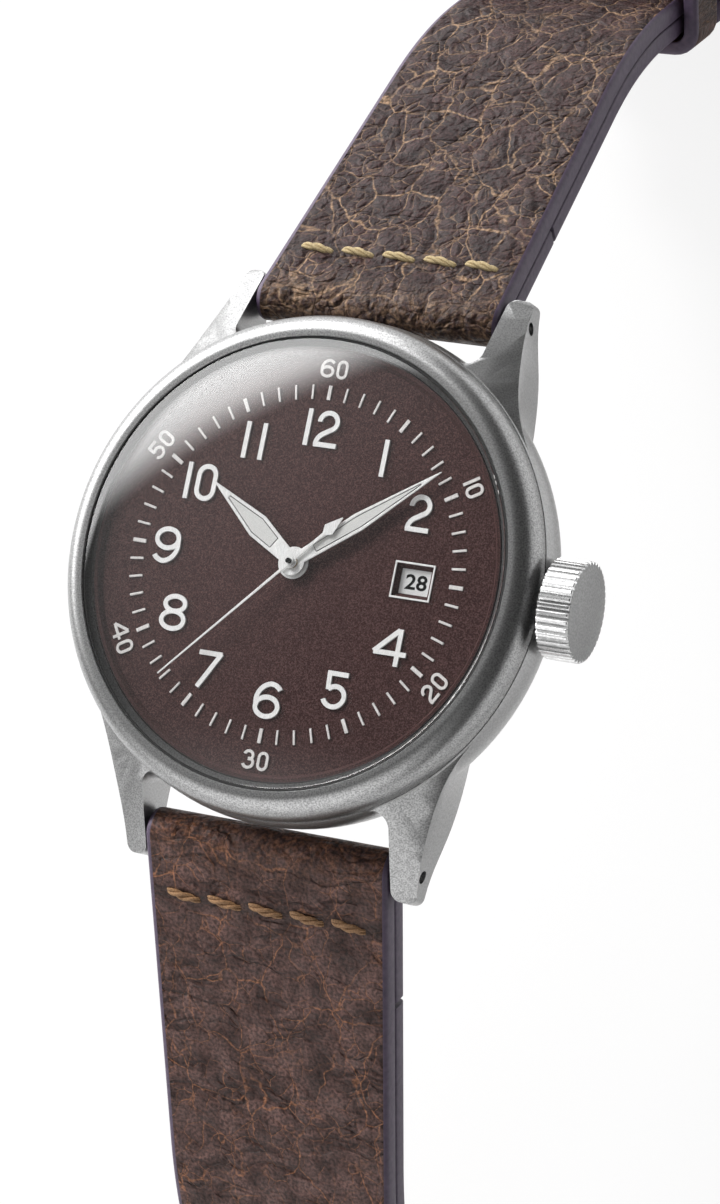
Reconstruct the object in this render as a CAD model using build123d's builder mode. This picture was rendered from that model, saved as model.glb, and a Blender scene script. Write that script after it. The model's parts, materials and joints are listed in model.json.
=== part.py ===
from build123d import *
import math
import os

os.makedirs("parts", exist_ok=True)

# A three-hand field watch with a date, on a two-piece leather strap laid out open.
# The origin is the centre of the caseback's flat face. +Z points out of the dial,
# +Y to twelve o'clock and +X to the crown. Lengths are millimetres.

# Driving dimensions of the case
bezel_radius = 19.0
lug_tip_reach = 22.9
lug_gap = 20.4
back_drop = 1.1
case_height = 5.65
bezel_height = 2.75
crystal_rise = 1.75
dial_drop = 1.55
overrun = 1.0
running_clearance = 0.05

# Levels, from the caseback's flat face up
case_bottom = back_drop
case_top = case_bottom + case_height
bezel_top = case_top + bezel_height
crystal_apex = bezel_top + crystal_rise
dial_top = bezel_top - dial_drop

# Middle case
flank_radius = 19.25
case_shoulder = 0.2
case_foot_inset = 2.4
flank_widest_drop = 0.9
flank_foot_share = 0.62
case_bore = 16.1
back_bore = 15.4
back_seat_height = 0.5

# Lugs
lug_wall_at_hole = 2.1
lug_root_heading = 34.0
lug_foot_half_width = 13.6
lug_root_fillet = 0.9
lug_middle_share = 0.55
lug_middle_bulge = 1.0
lug_tip_half_width = 12.1
lug_top_slope = 35.6
lug_tip_fillet = 0.7
lug_underside_drop = 0.4
lug_end_thickness = 1.2
lug_root_inset = 6.0

# Spring bars
bar_inset = 2.1
bar_height = 2.25
bar_radius = 0.9
bar_tip_radius = 0.42
bar_tip_bite = 1.6
bar_tip_length = 2.6
bar_shoulder_gap = 0.1
lug_hole_clearance = 0.08

# Bezel and crystal
bezel_bore = 17.05
bezel_rim_round = 0.35
bezel_shoulder_share = 0.55
bezel_foot_inset = 0.08
bezel_ledge_drop = 1.1
bezel_ledge_width = 0.75
gasket_wall = 0.19
crystal_edge_height = 0.95
crystal_bevel = 0.4
crystal_bevel_height = 0.3
crystal_wall = 0.6
crystal_centre_thickness = 1.15
crystal_inner_sag = 1.45
flange_width = 0.55

# Dial, its applied figures and the date window
dial_thickness = 0.4
dial_rim_gap = 0.08
dial_centre_hole = 1.0
hour_ring_radius = 10.2
hour_height = 2.77
hour_stroke = 0.36
hour_relief = 0.18
minute_ring_radius = 14.72
minute_height = 1.38
minute_stroke = 0.22
minute_relief = 0.1
marker_ring_radius = 12.9
marker_length = 1.1
marker_width = 0.18
five_minute_width = 0.3
marker_relief = 0.12
window_centre = 9.45
window_width = 2.3
window_height = 1.85
window_bevel = 0.3
window_frame_width = 0.14
window_frame_relief = 0.12

# Hands
hand_first_gap = 0.32
hand_pitch = 0.26
hand_thickness = 0.12
seconds_thickness = 0.08
hour_hand_length = 9.2
hour_hand_width = 1.84
hour_hand_base = 1.0
hour_hub_radius = 1.2
minute_hand_length = 13.1
minute_hand_width = 1.4
minute_hand_base = 0.95
minute_hub_radius = 1.0
inlay_border = 0.25
seconds_hand_length = 13.1
seconds_needle_width = 0.25
seconds_hub_radius = 0.48
seconds_tail_bar = 3.2
seconds_tail_width = 1.0
seconds_tail_end = 5.07
hub_rise = 0.5
hub_neck_radius = 0.34
hand_belly_share = 0.45
inlay_start_gap = 1.0
inlay_end_gap = 1.75
inlay_end_share = 0.35
hour_clock_angle = 304.0
minute_clock_angle = 51.7
seconds_clock_angle = 222.4

# Movement
movement_radius = 12.9
movement_ring_gap = 0.08
date_space = 0.25
date_disc_thickness = 0.1
date_disc_inner = 8.3
date_disc_outer = 11.3
plate_thickness = 2.2
train_space = 1.7
bridge_thickness = 0.6
bridge_rotor_gap = 0.2
rotor_thickness = 0.55
rotor_rim_extra = 0.35
rotor_rim_width = 2.3
rotor_hub_radius = 2.0
rotor_axle_radius = 0.9
rotor_heading = 270.0
rotor_half_turn = 90.0
rotor_window_heading = 45.0
rotor_window_half_turn = 26.0
rotor_window_share = 0.6
motion_recess_radius = 6.0
motion_recess_depth = 0.62
wheel_thickness = 0.15
wheel_rim_width = 0.45
wheel_arm_width = 0.4
wheel_level_gap = 0.32
arbor_radius = 0.2
pivot_radius = 0.1
arbor_wall = 0.2
jewel_radius = 0.5
jewel_thickness = 0.25
screw_radius = 0.35
screw_head_radius = 0.7
screw_head_height = 0.25
screw_bite = 0.6
screw_slot_width = 0.15
tooth_rise_share = 0.6
tooth_dip_share = 0.85
tooth_root_share = 0.2
tooth_tip_share = 0.07
crossing_inner_share = 0.3
crossing_outer_share = 0.98

# Going train, from the seconds arbor outwards
centre_teeth = 80
centre_module = 0.1
third_pinion_teeth = 10
third_teeth = 75
fourth_pinion_teeth = 10
fourth_teeth = 84
escape_pinion_teeth = 7
escape_module = 0.095
escape_teeth = 20
escape_radius = 2.0
centre_pinion_teeth = 12
barrel_teeth = 84
barrel_module = 0.13
barrel_height = 1.1
barrel_wall = 0.3
mainspring_turns = 7
mainspring_thickness = 0.18
third_heading = 150.0
escape_heading = 240.0
barrel_heading = 60.0
cannon_teeth = 12
minute_wheel_teeth = 36
minute_pinion_teeth = 10
hour_wheel_teeth = 40
motion_module = 0.1
minute_wheel_heading = 270.0

# Pillars and screws of the bridges
pillar_reach = 11.3
pillar_radius = 1.0
pillar_headings = (15.0, 105.0, 165.0, 215.0)
cock_pillar_turn = 24.0
cock_inner = 4.6
bridge_half_gap = 36.0
sector_gap = 0.3

# Balance
balance_reach = 8.3
balance_heading = 285.0
balance_radius = 3.4
balance_rim_width = 0.5
balance_height = 0.4
hairspring_turns = 6
hairspring_thickness = 0.07
hairspring_outer = 2.5
pallet_lock_angle = 30.0
pallet_stone_length = 0.5
pallet_stone_gap = 0.12
pallet_thickness = 0.15

# Crown and stem
crown_level = 5.4
crown_radius = 3.75
crown_length = 2.5
crown_flutes = 40
crown_flute_width = 0.34
crown_flute_depth = 0.28
crown_end_bevel = 0.35
crown_end_rise = 0.3
crown_case_gap = 0.35
crown_cup_depth = 1.5
crown_pull = 0.9
tube_radius = 1.25
tube_wall = 0.55
tube_standout = 1.3
crown_gasket_wire = 0.35
stem_socket = 0.6
stem_radius = 0.5
stem_inner_end = 7.0
stem_square = 0.6
clutch_radius = 0.95
clutch_length = 1.2
clutch_teeth = 14
clutch_end_gap = 0.4

# Caseback
back_floor = 0.9
back_inner_radius = 14.2
back_groove_radius = 15.6
back_rim_radius = 16.4
back_rim_round = 0.5
back_slots = 6
back_slot_width = 2.6
back_slot_length = 1.9
back_slot_depth = 0.5
back_gasket_wire = 0.4

# Strap
leather_thickness = 1.7
lining_thickness = 1.7
strap_root_width = 20.1
strap_buckle_width = 16.0
strap_tail_width = 14.8
strap_first_run = 26.0
upper_slope = 34.4
upper_bend_radius = 35.0
lower_slope = 31.2
lower_bend_radius = 40.0
steep_slope = 56.0
upper_steep_run = 16.0
upper_foot_radius = 10.0
upper_foot_run = 10.0
lower_foot_radius = 14.0
lower_foot_run = 45.7
fold_flap = 11.0
buckle_flap = 8.5
strap_bar_clearance = 0.05
stitch_reach = 4.3
stitch_count = 5
stitch_length = 3.0
stitch_pitch = 3.45
stitch_width = 0.62
stitch_height = 0.4
tail_holes = 7
tail_hole_radius = 0.95
tail_hole_pitch = 5.2
tail_hole_start = 10.0
tail_point_length = 9.0
tail_point_half_width = 2.6
keeper_width = 5.0
keeper_wall = 1.2
keeper_outer_corner = 1.7
keeper_inner_corner = 0.5
keeper_side_gap = 0.35
keeper_tail_room = 3.9
keeper_spacing = 2.6

# Buckle
buckle_wire = 2.1
buckle_height = 2.6
buckle_reach = 9.5
buckle_side_gap = 0.35
buckle_corner = 1.55
buckle_arm_back = 1.6
buckle_bar_radius = 0.75
tongue_width = 2.0
tongue_thickness = 0.9
tongue_slot_gap = 0.35
tongue_slot_depth = 4.5
tongue_overhang = 0.3
buckle_edge_round = 0.5

# Places worked out from the driving dimensions
strap_thickness = leather_thickness + lining_thickness
bar_reach = lug_tip_reach - bar_inset
lug_inner = lug_gap / 2
bezel_ledge_level = bezel_top - bezel_ledge_drop
crystal_radius = bezel_bore - gasket_wall
dial_bottom = dial_top - dial_thickness
plate_top = dial_bottom - date_space
plate_bottom = plate_top - plate_thickness
bridge_top = plate_bottom - train_space
bridge_bottom = bridge_top - bridge_thickness
rotor_top = bridge_bottom - bridge_rotor_gap
hour_hand_level = dial_top + hand_first_gap
minute_hand_level = hour_hand_level + hand_pitch
seconds_hand_level = minute_hand_level + hand_pitch
hub_top = seconds_hand_level + seconds_thickness + hub_rise
centre_tube_outer = arbor_radius + running_clearance + arbor_wall
cannon_outer = centre_tube_outer + running_clearance + arbor_wall
hour_pipe_inner = cannon_outer + running_clearance
centre_level = plate_bottom - wheel_thickness * 2
third_level = centre_level - wheel_level_gap - wheel_thickness
fourth_level = third_level - wheel_level_gap - wheel_thickness


def at_clock(radius, clock_angle):
    """Point on the dial at a clock angle, in degrees from twelve."""
    angle = math.radians(clock_angle)
    return (radius * math.sin(angle), radius * math.cos(angle))


def at_heading(radius, heading):
    """Point at a heading, in degrees from +X towards +Y."""
    angle = math.radians(heading)
    return (radius * math.cos(angle), radius * math.sin(angle))


def shifted(point, shift):
    """A flat point moved by another."""
    return (point[0] + shift[0], point[1] + shift[1])


def level_plane(height, place=(0, 0), turn=0):
    """A plane parallel to the dial, at a height, over a place and turned."""
    return Plane(origin=(place[0], place[1], height)).rotated((0, 0, turn))


def finish(part, label):
    """Labels a piece and writes it."""
    part.label = label
    export_step(part, "parts/" + label + ".step")
    return part


# Middle case: a turned barrel with four lugs, bored out for the movement

foot_radius = flank_radius - case_foot_inset
flank_foot_level = case_bottom + case_height * (1 - flank_foot_share) / 2
widest_level = case_top - flank_widest_drop

lug_top_rise = math.tan(math.radians(lug_top_slope))
lug_envelope_reach = math.hypot(lug_tip_reach, lug_tip_half_width)
lug_end_top = case_top - (lug_envelope_reach - bezel_radius) * lug_top_rise
lug_root = at_heading(flank_radius - running_clearance, lug_root_heading)
middle_reach = lug_root[1] + (lug_tip_reach - lug_root[1]) * lug_middle_share
middle_half_width = (lug_root[0] + lug_tip_half_width) / 2 - lug_middle_bulge
lug_foot = (lug_foot_half_width, math.sqrt(foot_radius ** 2 - lug_foot_half_width ** 2))
lug_base_level = case_bottom - lug_underside_drop

with BuildPart() as lug:
    for level, root, root_flare in (
        (lug_base_level, lug_foot, (0, -1)),
        (case_top, lug_root, at_heading(1, lug_root_heading - 90)),
    ):
        with BuildSketch(Plane.XY.offset(level)):
            with BuildLine():
                root_in = (lug_inner, lug_root_inset)
                tip_in = (lug_inner, lug_tip_reach)
                tip_out = (lug_tip_half_width, lug_tip_reach)
                middle_out = (middle_half_width, middle_reach)
                Polyline(root, root_in, tip_in, tip_out)
                Spline(tip_out, middle_out, root, tangents=((0, -1), root_flare))
            make_face()
    loft(ruled=True)
    upright_edges = lug.edges().filter_by(lambda edge: edge.bounding_box().size.Z > case_height)
    fillet(upright_edges.group_by(Axis.Y)[-1], radius=lug_tip_fillet)
    with BuildSketch(Plane.XZ):
        with BuildLine():
            crest = (bezel_radius - case_shoulder, case_top)
            end_top = (lug_envelope_reach, lug_end_top)
            end_low = (lug_envelope_reach, lug_end_top - lug_end_thickness)
            belly = (lug_envelope_reach - lug_wall_at_hole, lug_base_level)
            Polyline(
                end_low, end_top, crest, (0, case_top), (0, lug_base_level), belly
            )
            TangentArc(belly, end_low, tangent=(1, 0))
        make_face()
    revolve(axis=Axis.Z, mode=Mode.INTERSECT)


def climbs_lug_root(edge):
    """Whether an edge runs up the corner between a lug's inner wall and the barrel."""
    centre = edge.center()
    beside_gap = abs(abs(centre.X) - lug_inner) < running_clearance
    return beside_gap and abs(centre.Y) < foot_radius and edge.bounding_box().size.Z > case_height / 2


with BuildPart() as middle_case:
    with BuildSketch(Plane.XZ):
        with BuildLine():
            top_corner = (flank_radius - case_shoulder, case_top)
            widest = (flank_radius, widest_level)
            low_flank = (flank_radius - case_foot_inset * (1 - flank_foot_share), flank_foot_level)
            foot = (foot_radius, case_bottom)
            Line((0, case_top), top_corner)
            Spline(top_corner, widest, low_flank, foot)
            Line(foot, (0, case_bottom))
            Line((0, case_bottom), (0, case_top))
        make_face()
    revolve(axis=Axis.Z)

    add(lug.part)
    mirror(lug.part, about=Plane.YZ)
    mirror(lug.part, about=Plane.XZ)
    mirror(mirror(lug.part, about=Plane.YZ, mode=Mode.PRIVATE), about=Plane.XZ)
    fillet(middle_case.edges().filter_by(climbs_lug_root), radius=lug_root_fillet)

    with BuildSketch(Plane.XY.offset(case_bottom - overrun)):
        Circle(back_rim_radius + running_clearance)
    extrude(amount=overrun, mode=Mode.SUBTRACT)
    with BuildSketch(Plane.XY.offset(case_bottom - overrun)):
        Circle(back_bore)
    extrude(amount=case_height + overrun * 2, mode=Mode.SUBTRACT)
    with BuildSketch(Plane.XY.offset(case_bottom + back_seat_height)):
        Circle(case_bore)
    extrude(amount=case_height, mode=Mode.SUBTRACT)
    bar_holes = Plane(origin=(0, 0, bar_height), z_dir=(1, 0, 0), x_dir=(0, 1, 0))
    with BuildSketch(bar_holes):
        with Locations((bar_reach, 0), (-bar_reach, 0)):
            Circle(bar_tip_radius + lug_hole_clearance)
    extrude(amount=bezel_radius, both=True, mode=Mode.SUBTRACT)
    stem_axis = Plane(origin=(0, 0, crown_level), z_dir=(1, 0, 0), x_dir=(0, 1, 0))
    with BuildSketch(stem_axis):
        Circle(tube_radius)
    extrude(amount=bezel_radius + overrun, mode=Mode.SUBTRACT)
finish(middle_case.part, "middle_case")

# Bezel: a turned ring with a full round shoulder and a ledge for the crystal

with BuildPart() as bezel:
    with BuildSketch(Plane.XZ):
        with BuildLine():
            rim_in = (bezel_bore, bezel_top - bezel_rim_round / 2)
            rim_top = (bezel_bore + bezel_rim_round, bezel_top)
            foot_out = (bezel_radius - bezel_foot_inset, case_top)
            waist = (bezel_radius, case_top + bezel_height * (1 - bezel_shoulder_share) / 2)
            shoulder_mid = (
                bezel_radius - (bezel_radius - bezel_bore) * (1 - bezel_shoulder_share) / 2,
                bezel_top - bezel_height * (1 - bezel_shoulder_share) / 2,
            )
            ledge_in = bezel_bore - bezel_ledge_width
            Line((ledge_in, case_top), foot_out)
            Line(foot_out, waist)
            Spline(waist, shoulder_mid, rim_top, tangents=((0, 1), (-1, 0)))
            Line(rim_top, rim_in)
            Polyline(
                rim_in,
                (bezel_bore, bezel_ledge_level),
                (ledge_in, bezel_ledge_level),
                (ledge_in, case_top),
            )
        make_face()
    revolve(axis=Axis.Z)
finish(bezel.part, "bezel")

# Crystal: a domed glass with a polished bevel, hollowed to clear the hands

crystal_foot = bezel_ledge_level
crystal_shoulder = crystal_foot + crystal_edge_height
crystal_rim = crystal_shoulder + crystal_bevel_height
inner_apex = crystal_apex - crystal_centre_thickness
crystal_inner_radius = crystal_radius - crystal_wall
inner_rim = inner_apex - crystal_inner_sag

with BuildPart() as crystal:
    with BuildSketch(Plane.XZ):
        with BuildLine():
            bevel_in = (crystal_radius - crystal_bevel, crystal_rim)
            Line((0, inner_apex), (0, crystal_apex))
            TangentArc((0, crystal_apex), bevel_in, tangent=(1, 0))
            Polyline(
                bevel_in,
                (crystal_radius, crystal_shoulder),
                (crystal_radius, crystal_foot),
                (crystal_inner_radius, crystal_foot),
                (crystal_inner_radius, inner_rim),
            )
            TangentArc((0, inner_apex), (crystal_inner_radius, inner_rim), tangent=(1, 0))
        make_face()
    revolve(axis=Axis.Z)
finish(crystal.part, "crystal")

with BuildPart() as crystal_gasket:
    with BuildSketch(Plane.XY.offset(crystal_foot)):
        Circle(bezel_bore)
        Circle(crystal_radius, mode=Mode.SUBTRACT)
    extrude(amount=crystal_edge_height)
finish(crystal_gasket.part, "crystal_gasket")

# Flange ring: the sloping ring between the dial and the crystal

flange_outer = bezel_bore - bezel_ledge_width - dial_rim_gap
with BuildPart() as flange_ring:
    with BuildSketch(Plane.XZ):
        Polygon(
            (flange_outer, dial_top),
            (flange_outer, crystal_foot),
            (flange_outer - flange_width / 2, crystal_foot),
            (flange_outer - flange_width, dial_top),
        )
    revolve(axis=Axis.Z)
finish(flange_ring.part, "flange_ring")

# Dial: a thin plate with the centre hole and the date window

with BuildPart() as dial:
    with BuildSketch(Plane.XY.offset(dial_bottom)):
        Circle(flange_outer)
        Circle(dial_centre_hole, mode=Mode.SUBTRACT)
    extrude(amount=dial_thickness)
    with BuildSketch(Plane.XY.offset(dial_bottom)):
        with Locations((window_centre, 0)):
            Rectangle(window_width, window_height)
    window_slope = math.degrees(math.atan2(window_bevel, dial_thickness))
    extrude(amount=dial_thickness, taper=-window_slope, mode=Mode.SUBTRACT)
finish(dial.part, "dial")

# Figures drawn as single strokes. A stroke's points are shares of its figure's height.

digit_width_shares = {
    "0": 0.61, "1": 0.13, "2": 0.66, "3": 0.68, "4": 0.96,
    "5": 0.71, "6": 0.76, "7": 0.73, "8": 0.79, "9": 0.76,
}
digit_line_shares = {
    "0": [((0.06, 0.30), (0.06, 0.70)), ((0.55, 0.70), (0.55, 0.30))],
    "1": [((0.065, 0.0), (0.065, 1.0))],
    "2": [((0.44, 0.49), (0.22, 0.355)), ((0.0, 0.065), (0.66, 0.065))],
    "3": [],
    "4": [((0.71, 0.0), (0.71, 0.99)), ((0.67, 0.96), (0.03, 0.33)), ((0.03, 0.33), (0.96, 0.33))],
    "5": [((0.66, 0.935), (0.06, 0.935)), ((0.12, 0.95), (0.15, 0.50))],
    "6": [],
    "7": [((0.0, 0.935), (0.68, 0.935)), ((0.655, 0.96), (0.11, 0.0))],
    "8": [],
    "9": [],
}
digit_arc_shares = {
    "0": [((0.06, 0.70), (0.305, 0.94), (0.55, 0.70)), ((0.06, 0.30), (0.305, 0.06), (0.55, 0.30))],
    "1": [],
    "2": [
        ((0.07, 0.68), (0.30, 0.937), (0.583, 0.70)),
        ((0.583, 0.70), (0.545, 0.575), (0.44, 0.49)),
        ((0.22, 0.355), (0.10, 0.235), (0.055, 0.065)),
    ],
    "3": [
        ((0.06, 0.77), (0.36, 0.94), (0.56, 0.73)),
        ((0.56, 0.73), (0.50, 0.58), (0.30, 0.53)),
        ((0.30, 0.53), (0.55, 0.49), (0.62, 0.30)),
        ((0.62, 0.30), (0.34, 0.06), (0.04, 0.24)),
    ],
    "4": [],
    "5": [
        ((0.155, 0.50), (0.50, 0.57), (0.645, 0.33)),
        ((0.645, 0.33), (0.40, 0.062), (0.06, 0.235)),
    ],
    "6": [
        ((0.065, 0.38), (0.13, 0.754), (0.41, 0.94)),
        ((0.41, 0.94), (0.57, 0.905), (0.70, 0.80)),
    ],
    "7": [],
    "8": [],
    "9": [
        ((0.695, 0.62), (0.63, 0.246), (0.35, 0.06)),
        ((0.35, 0.06), (0.19, 0.095), (0.06, 0.20)),
    ],
}
digit_bowl_shares = {
    "6": [((0.387, 0.321), (0.322, 0.258))],
    "8": [((0.39, 0.735), (0.292, 0.20)), ((0.395, 0.295), (0.33, 0.235))],
    "9": [((0.373, 0.679), (0.322, 0.258))],
}
digit_gap_share = 0.18
twin_bar_gap_share = 0.36


def draw_straight_stroke(start, end, stroke):
    """A bar of a stroke's width from one point to another."""
    turn = math.atan2(end[1] - start[1], end[0] - start[0])
    side = (-math.sin(turn) * stroke / 2, math.cos(turn) * stroke / 2)
    back = (-side[0], -side[1])
    Polygon(shifted(start, side), shifted(start, back), shifted(end, back), shifted(end, side))


def draw_curved_stroke(start, middle, end, stroke):
    """A band of a stroke's width along the arc through three points."""
    ax, ay = start[0] - middle[0], start[1] - middle[1]
    bx, by = end[0] - middle[0], end[1] - middle[1]
    cross = 2 * (ax * by - ay * bx)
    a_square, b_square = ax * ax + ay * ay, bx * bx + by * by
    to_centre = ((by * a_square - ay * b_square) / cross, (ax * b_square - bx * a_square) / cross)
    centre = shifted(middle, to_centre)
    radius = math.hypot(*to_centre)

    def on_arc(point, reach):
        share = reach / radius
        return (
            centre[0] + (point[0] - centre[0]) * share,
            centre[1] + (point[1] - centre[1]) * share,
        )

    outer, inner = radius + stroke / 2, radius - stroke / 2
    with BuildLine() as band:
        ThreePointArc(on_arc(start, outer), on_arc(middle, outer), on_arc(end, outer))
        Line(on_arc(end, outer), on_arc(end, inner))
        ThreePointArc(on_arc(end, inner), on_arc(middle, inner), on_arc(start, inner))
        Line(on_arc(start, inner), on_arc(start, outer))
    make_face(band.edges())


def draw_digit(digit, left, height, stroke, turned):
    """One figure of a row. turned places the row's flat points on the dial."""

    def at(share):
        return turned(left + share[0] * height, share[1] * height - height / 2)

    for start, end in digit_line_shares[digit]:
        draw_straight_stroke(at(start), at(end), stroke)
    for start, middle, end in digit_arc_shares[digit]:
        draw_curved_stroke(at(start), at(middle), at(end), stroke)
    zero, side = turned(0, 0), turned(1, 0)
    turn = math.degrees(math.atan2(side[1] - zero[1], side[0] - zero[0]))
    for centre, radii in digit_bowl_shares.get(digit, []):
        wide, tall = radii[0] * height, radii[1] * height
        bowl = bowl_ring(wide, tall, stroke)
        with Locations(Location((*at(centre), 0), (0, 0, turn))):
            add(bowl)


def bowl_ring(wide, tall, stroke):
    """An oval ring of a stroke's width."""
    outer = Ellipse(wide + stroke / 2, tall + stroke / 2, mode=Mode.PRIVATE)
    inner = Ellipse(wide - stroke / 2, tall - stroke / 2, mode=Mode.PRIVATE)
    return outer - inner


def row_width_share(text):
    """Width of a row of figures, as a share of their height."""
    gap_share = twin_bar_gap_share if text == "11" else digit_gap_share
    return sum(digit_width_shares[digit] for digit in text) + gap_share * (len(text) - 1)


def digit_sketches(text, centre, height, stroke, turn, level):
    """Faces of a centred row of figures, one sketch for each figure."""
    gap_share = twin_bar_gap_share if text == "11" else digit_gap_share
    angle = math.radians(turn)

    def turned(across, up):
        return (
            centre[0] + across * math.cos(angle) - up * math.sin(angle),
            centre[1] + across * math.sin(angle) + up * math.cos(angle),
        )

    left = -row_width_share(text) * height / 2
    faces = []
    for digit in text:
        with BuildSketch(Plane.XY.offset(level), mode=Mode.PRIVATE) as figure:
            draw_digit(digit, left, height, stroke, turned)
        faces.append(figure.sketch)
        left += (digit_width_shares[digit] + gap_share) * height
    return faces


hour_place_shares = {
    "12": (0.003, 0.998), "1": (0.528, 0.845), "2": (0.882, 0.487), "4": (0.861, -0.485),
    "5": (0.508, -0.855), "6": (0.002, -1.003), "7": (-0.502, -0.855), "8": (-0.870, -0.485),
    "9": (-1.034, -0.005), "10": (-0.866, 0.490), "11": (-0.510, 0.845),
}

with BuildPart() as hour_numerals:
    for text, share in hour_place_shares.items():
        place = (share[0] * hour_ring_radius, share[1] * hour_ring_radius)
        for face in digit_sketches(text, place, hour_height, hour_stroke, 0, dial_top):
            extrude(face, amount=hour_relief)
finish(hour_numerals.part, "hour_numerals")

minute_texts = {"60": 0, "10": 60, "20": 120, "30": 180, "40": 240, "50": 300}

with BuildPart() as minute_numerals:
    for text, clock_angle in minute_texts.items():
        upright = 90 < clock_angle < 270
        turn = 180 - clock_angle if upright else -clock_angle
        place = at_clock(minute_ring_radius, clock_angle)
        for face in digit_sketches(text, place, minute_height, minute_stroke, turn, dial_top):
            extrude(face, amount=minute_relief)
finish(minute_numerals.part, "minute_numerals")

with BuildPart() as minute_markers:
    for minute in range(60):
        wide = five_minute_width if minute % 5 == 0 else marker_width
        spot = at_clock(marker_ring_radius, minute * 6)
        with BuildSketch(level_plane(dial_top, spot, -minute * 6)):
            Rectangle(wide, marker_length)
        extrude(amount=marker_relief)
finish(minute_markers.part, "minute_markers")

# Date window frame: a thin bright line round the window's bevel

with BuildPart() as date_window_frame:
    with BuildSketch(Plane.XY.offset(dial_top)):
        with Locations((window_centre, 0)):
            inner_width = window_width + window_bevel * 2
            inner_height = window_height + window_bevel * 2
            Rectangle(inner_width + window_frame_width * 2, inner_height + window_frame_width * 2)
            Rectangle(inner_width, inner_height, mode=Mode.SUBTRACT)
    extrude(amount=window_frame_relief)
finish(date_window_frame.part, "date_window_frame")

# Hands: a lozenge with an inlaid lume, on a round hub, at the time that they show


def hand_outline(length, wide, base, border=0, reach_in=0, reach_out=0):
    """Half outline points of a lozenge hand, narrowed by a border."""
    belly = length * hand_belly_share
    return [
        (base / 2 - border, reach_in),
        (wide / 2 - border, belly),
        (seconds_thickness / 2, length - reach_out),
    ]


def draw_lozenge(half_points):
    """A closed outline, mirrored about the hand's own length."""
    mirrored = [(-across, along) for across, along in reversed(half_points)]
    Polygon(*half_points, *mirrored)


def hand_inlay(length, wide, base, hub):
    """Half outline points of a hand's inlay."""
    start = hub + inlay_start_gap
    belly = length * hand_belly_share
    end = length - inlay_end_gap
    start_half = base / 2 + (wide - base) / 2 * start / belly - inlay_border
    end_half = wide / 2 * (length - end) / (length - belly) * inlay_end_share
    return [(start_half, start), (wide / 2 - inlay_border, belly), (end_half, end)]


hand_sizes = {
    "hour_hand": (
        hour_hand_length, hour_hand_width, hour_hand_base, hour_hub_radius,
        cannon_outer + running_clearance * 2, hour_hand_level, hour_clock_angle,
    ),
    "minute_hand": (
        minute_hand_length, minute_hand_width, minute_hand_base, minute_hub_radius,
        centre_tube_outer, minute_hand_level, minute_clock_angle,
    ),
}

for hand_name, sizes in hand_sizes.items():
    length, wide, base, hub, bore, level, clock_angle = sizes
    hand_plane = level_plane(level, (0, 0), -clock_angle)
    inlay_points = hand_inlay(length, wide, base, hub)
    with BuildPart() as hand:
        with BuildSketch(hand_plane):
            draw_lozenge(hand_outline(length, wide, base))
            Circle(hub)
            draw_inlay = [(-across, along) for across, along in reversed(inlay_points)]
            Polygon(*inlay_points, *draw_inlay, mode=Mode.SUBTRACT)
            Circle(bore, mode=Mode.SUBTRACT)
        extrude(amount=hand_thickness)
    finish(hand.part, hand_name)
    with BuildPart() as inlay:
        with BuildSketch(hand_plane):
            draw_lozenge(inlay_points)
        extrude(amount=hand_thickness)
    finish(inlay.part, hand_name + "_lume")

with BuildPart() as seconds_hand:
    seconds_plane = level_plane(seconds_hand_level, (0, 0), -seconds_clock_angle)
    with BuildSketch(seconds_plane):
        draw_lozenge([
            (seconds_needle_width / 2, -seconds_tail_bar),
            (seconds_needle_width / 4, seconds_hand_length),
        ])
        draw_lozenge([
            (seconds_thickness / 2, -seconds_tail_end),
            (seconds_tail_width / 2, -seconds_tail_bar - inlay_border * 2),
            (seconds_needle_width / 2, -seconds_tail_bar),
        ])
        Circle(seconds_hub_radius)
    extrude(amount=seconds_thickness)
    with BuildSketch(Plane.XY.offset(seconds_hand_level)):
        Circle(hub_neck_radius)
    extrude(amount=seconds_thickness + hub_rise / 2)
    with BuildSketch(Plane.XY.offset(seconds_hand_level - overrun)):
        Circle(arbor_radius)
    extrude(amount=overrun * 3, mode=Mode.SUBTRACT)
finish(seconds_hand.part, "seconds_hand")

# Toothed wheels: straight-sided teeth short and narrow enough to run free


def pitch_radius(teeth, module):
    """Half the teeth times the module."""
    return teeth * module / 2


def draw_teeth(teeth, module, phase):
    """A wheel's toothed outline. A tooth's centre lies at the phase angle."""
    radius = pitch_radius(teeth, module)
    tip = radius + tooth_rise_share * module
    root = radius - tooth_dip_share * module
    corner_shares = [
        (-tooth_root_share, root), (-tooth_tip_share, tip), (tooth_tip_share, tip), (tooth_root_share, root)
    ]
    points = []
    for tooth in range(teeth):
        for share, reach in corner_shares:
            points.append(at_heading(reach, phase + 360 * (tooth + share) / teeth))
    Polygon(*points)


def mating_phase(teeth, phase, mate_teeth, heading):
    """Phase of the mate that puts its gap where the first wheel's tooth is."""
    tooth_turn = 360 / teeth
    past_tooth = (heading - phase) % tooth_turn
    return heading + 180 + past_tooth * teeth / mate_teeth - 180 / mate_teeth


def draw_crossings(radius, arms):
    """Cuts windows between a wheel's arms, to be used in its sketch."""
    inner = radius * crossing_inner_share
    for arm in range(arms):
        middle = 360 * (arm + 0.5) / arms
        half_turn = 180 / arms
        inner_slip = math.degrees(wheel_arm_width / 2 / inner)
        outer_slip = math.degrees(wheel_arm_width / 2 / radius)
        Polygon(
            at_heading(inner, middle - half_turn + inner_slip),
            at_heading(radius, middle - half_turn + outer_slip),
            at_heading(radius * crossing_outer_share / math.cos(math.radians(half_turn / 2)), middle),
            at_heading(radius, middle + half_turn - outer_slip),
            at_heading(inner, middle + half_turn - inner_slip),
            mode=Mode.SUBTRACT,
        )


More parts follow.
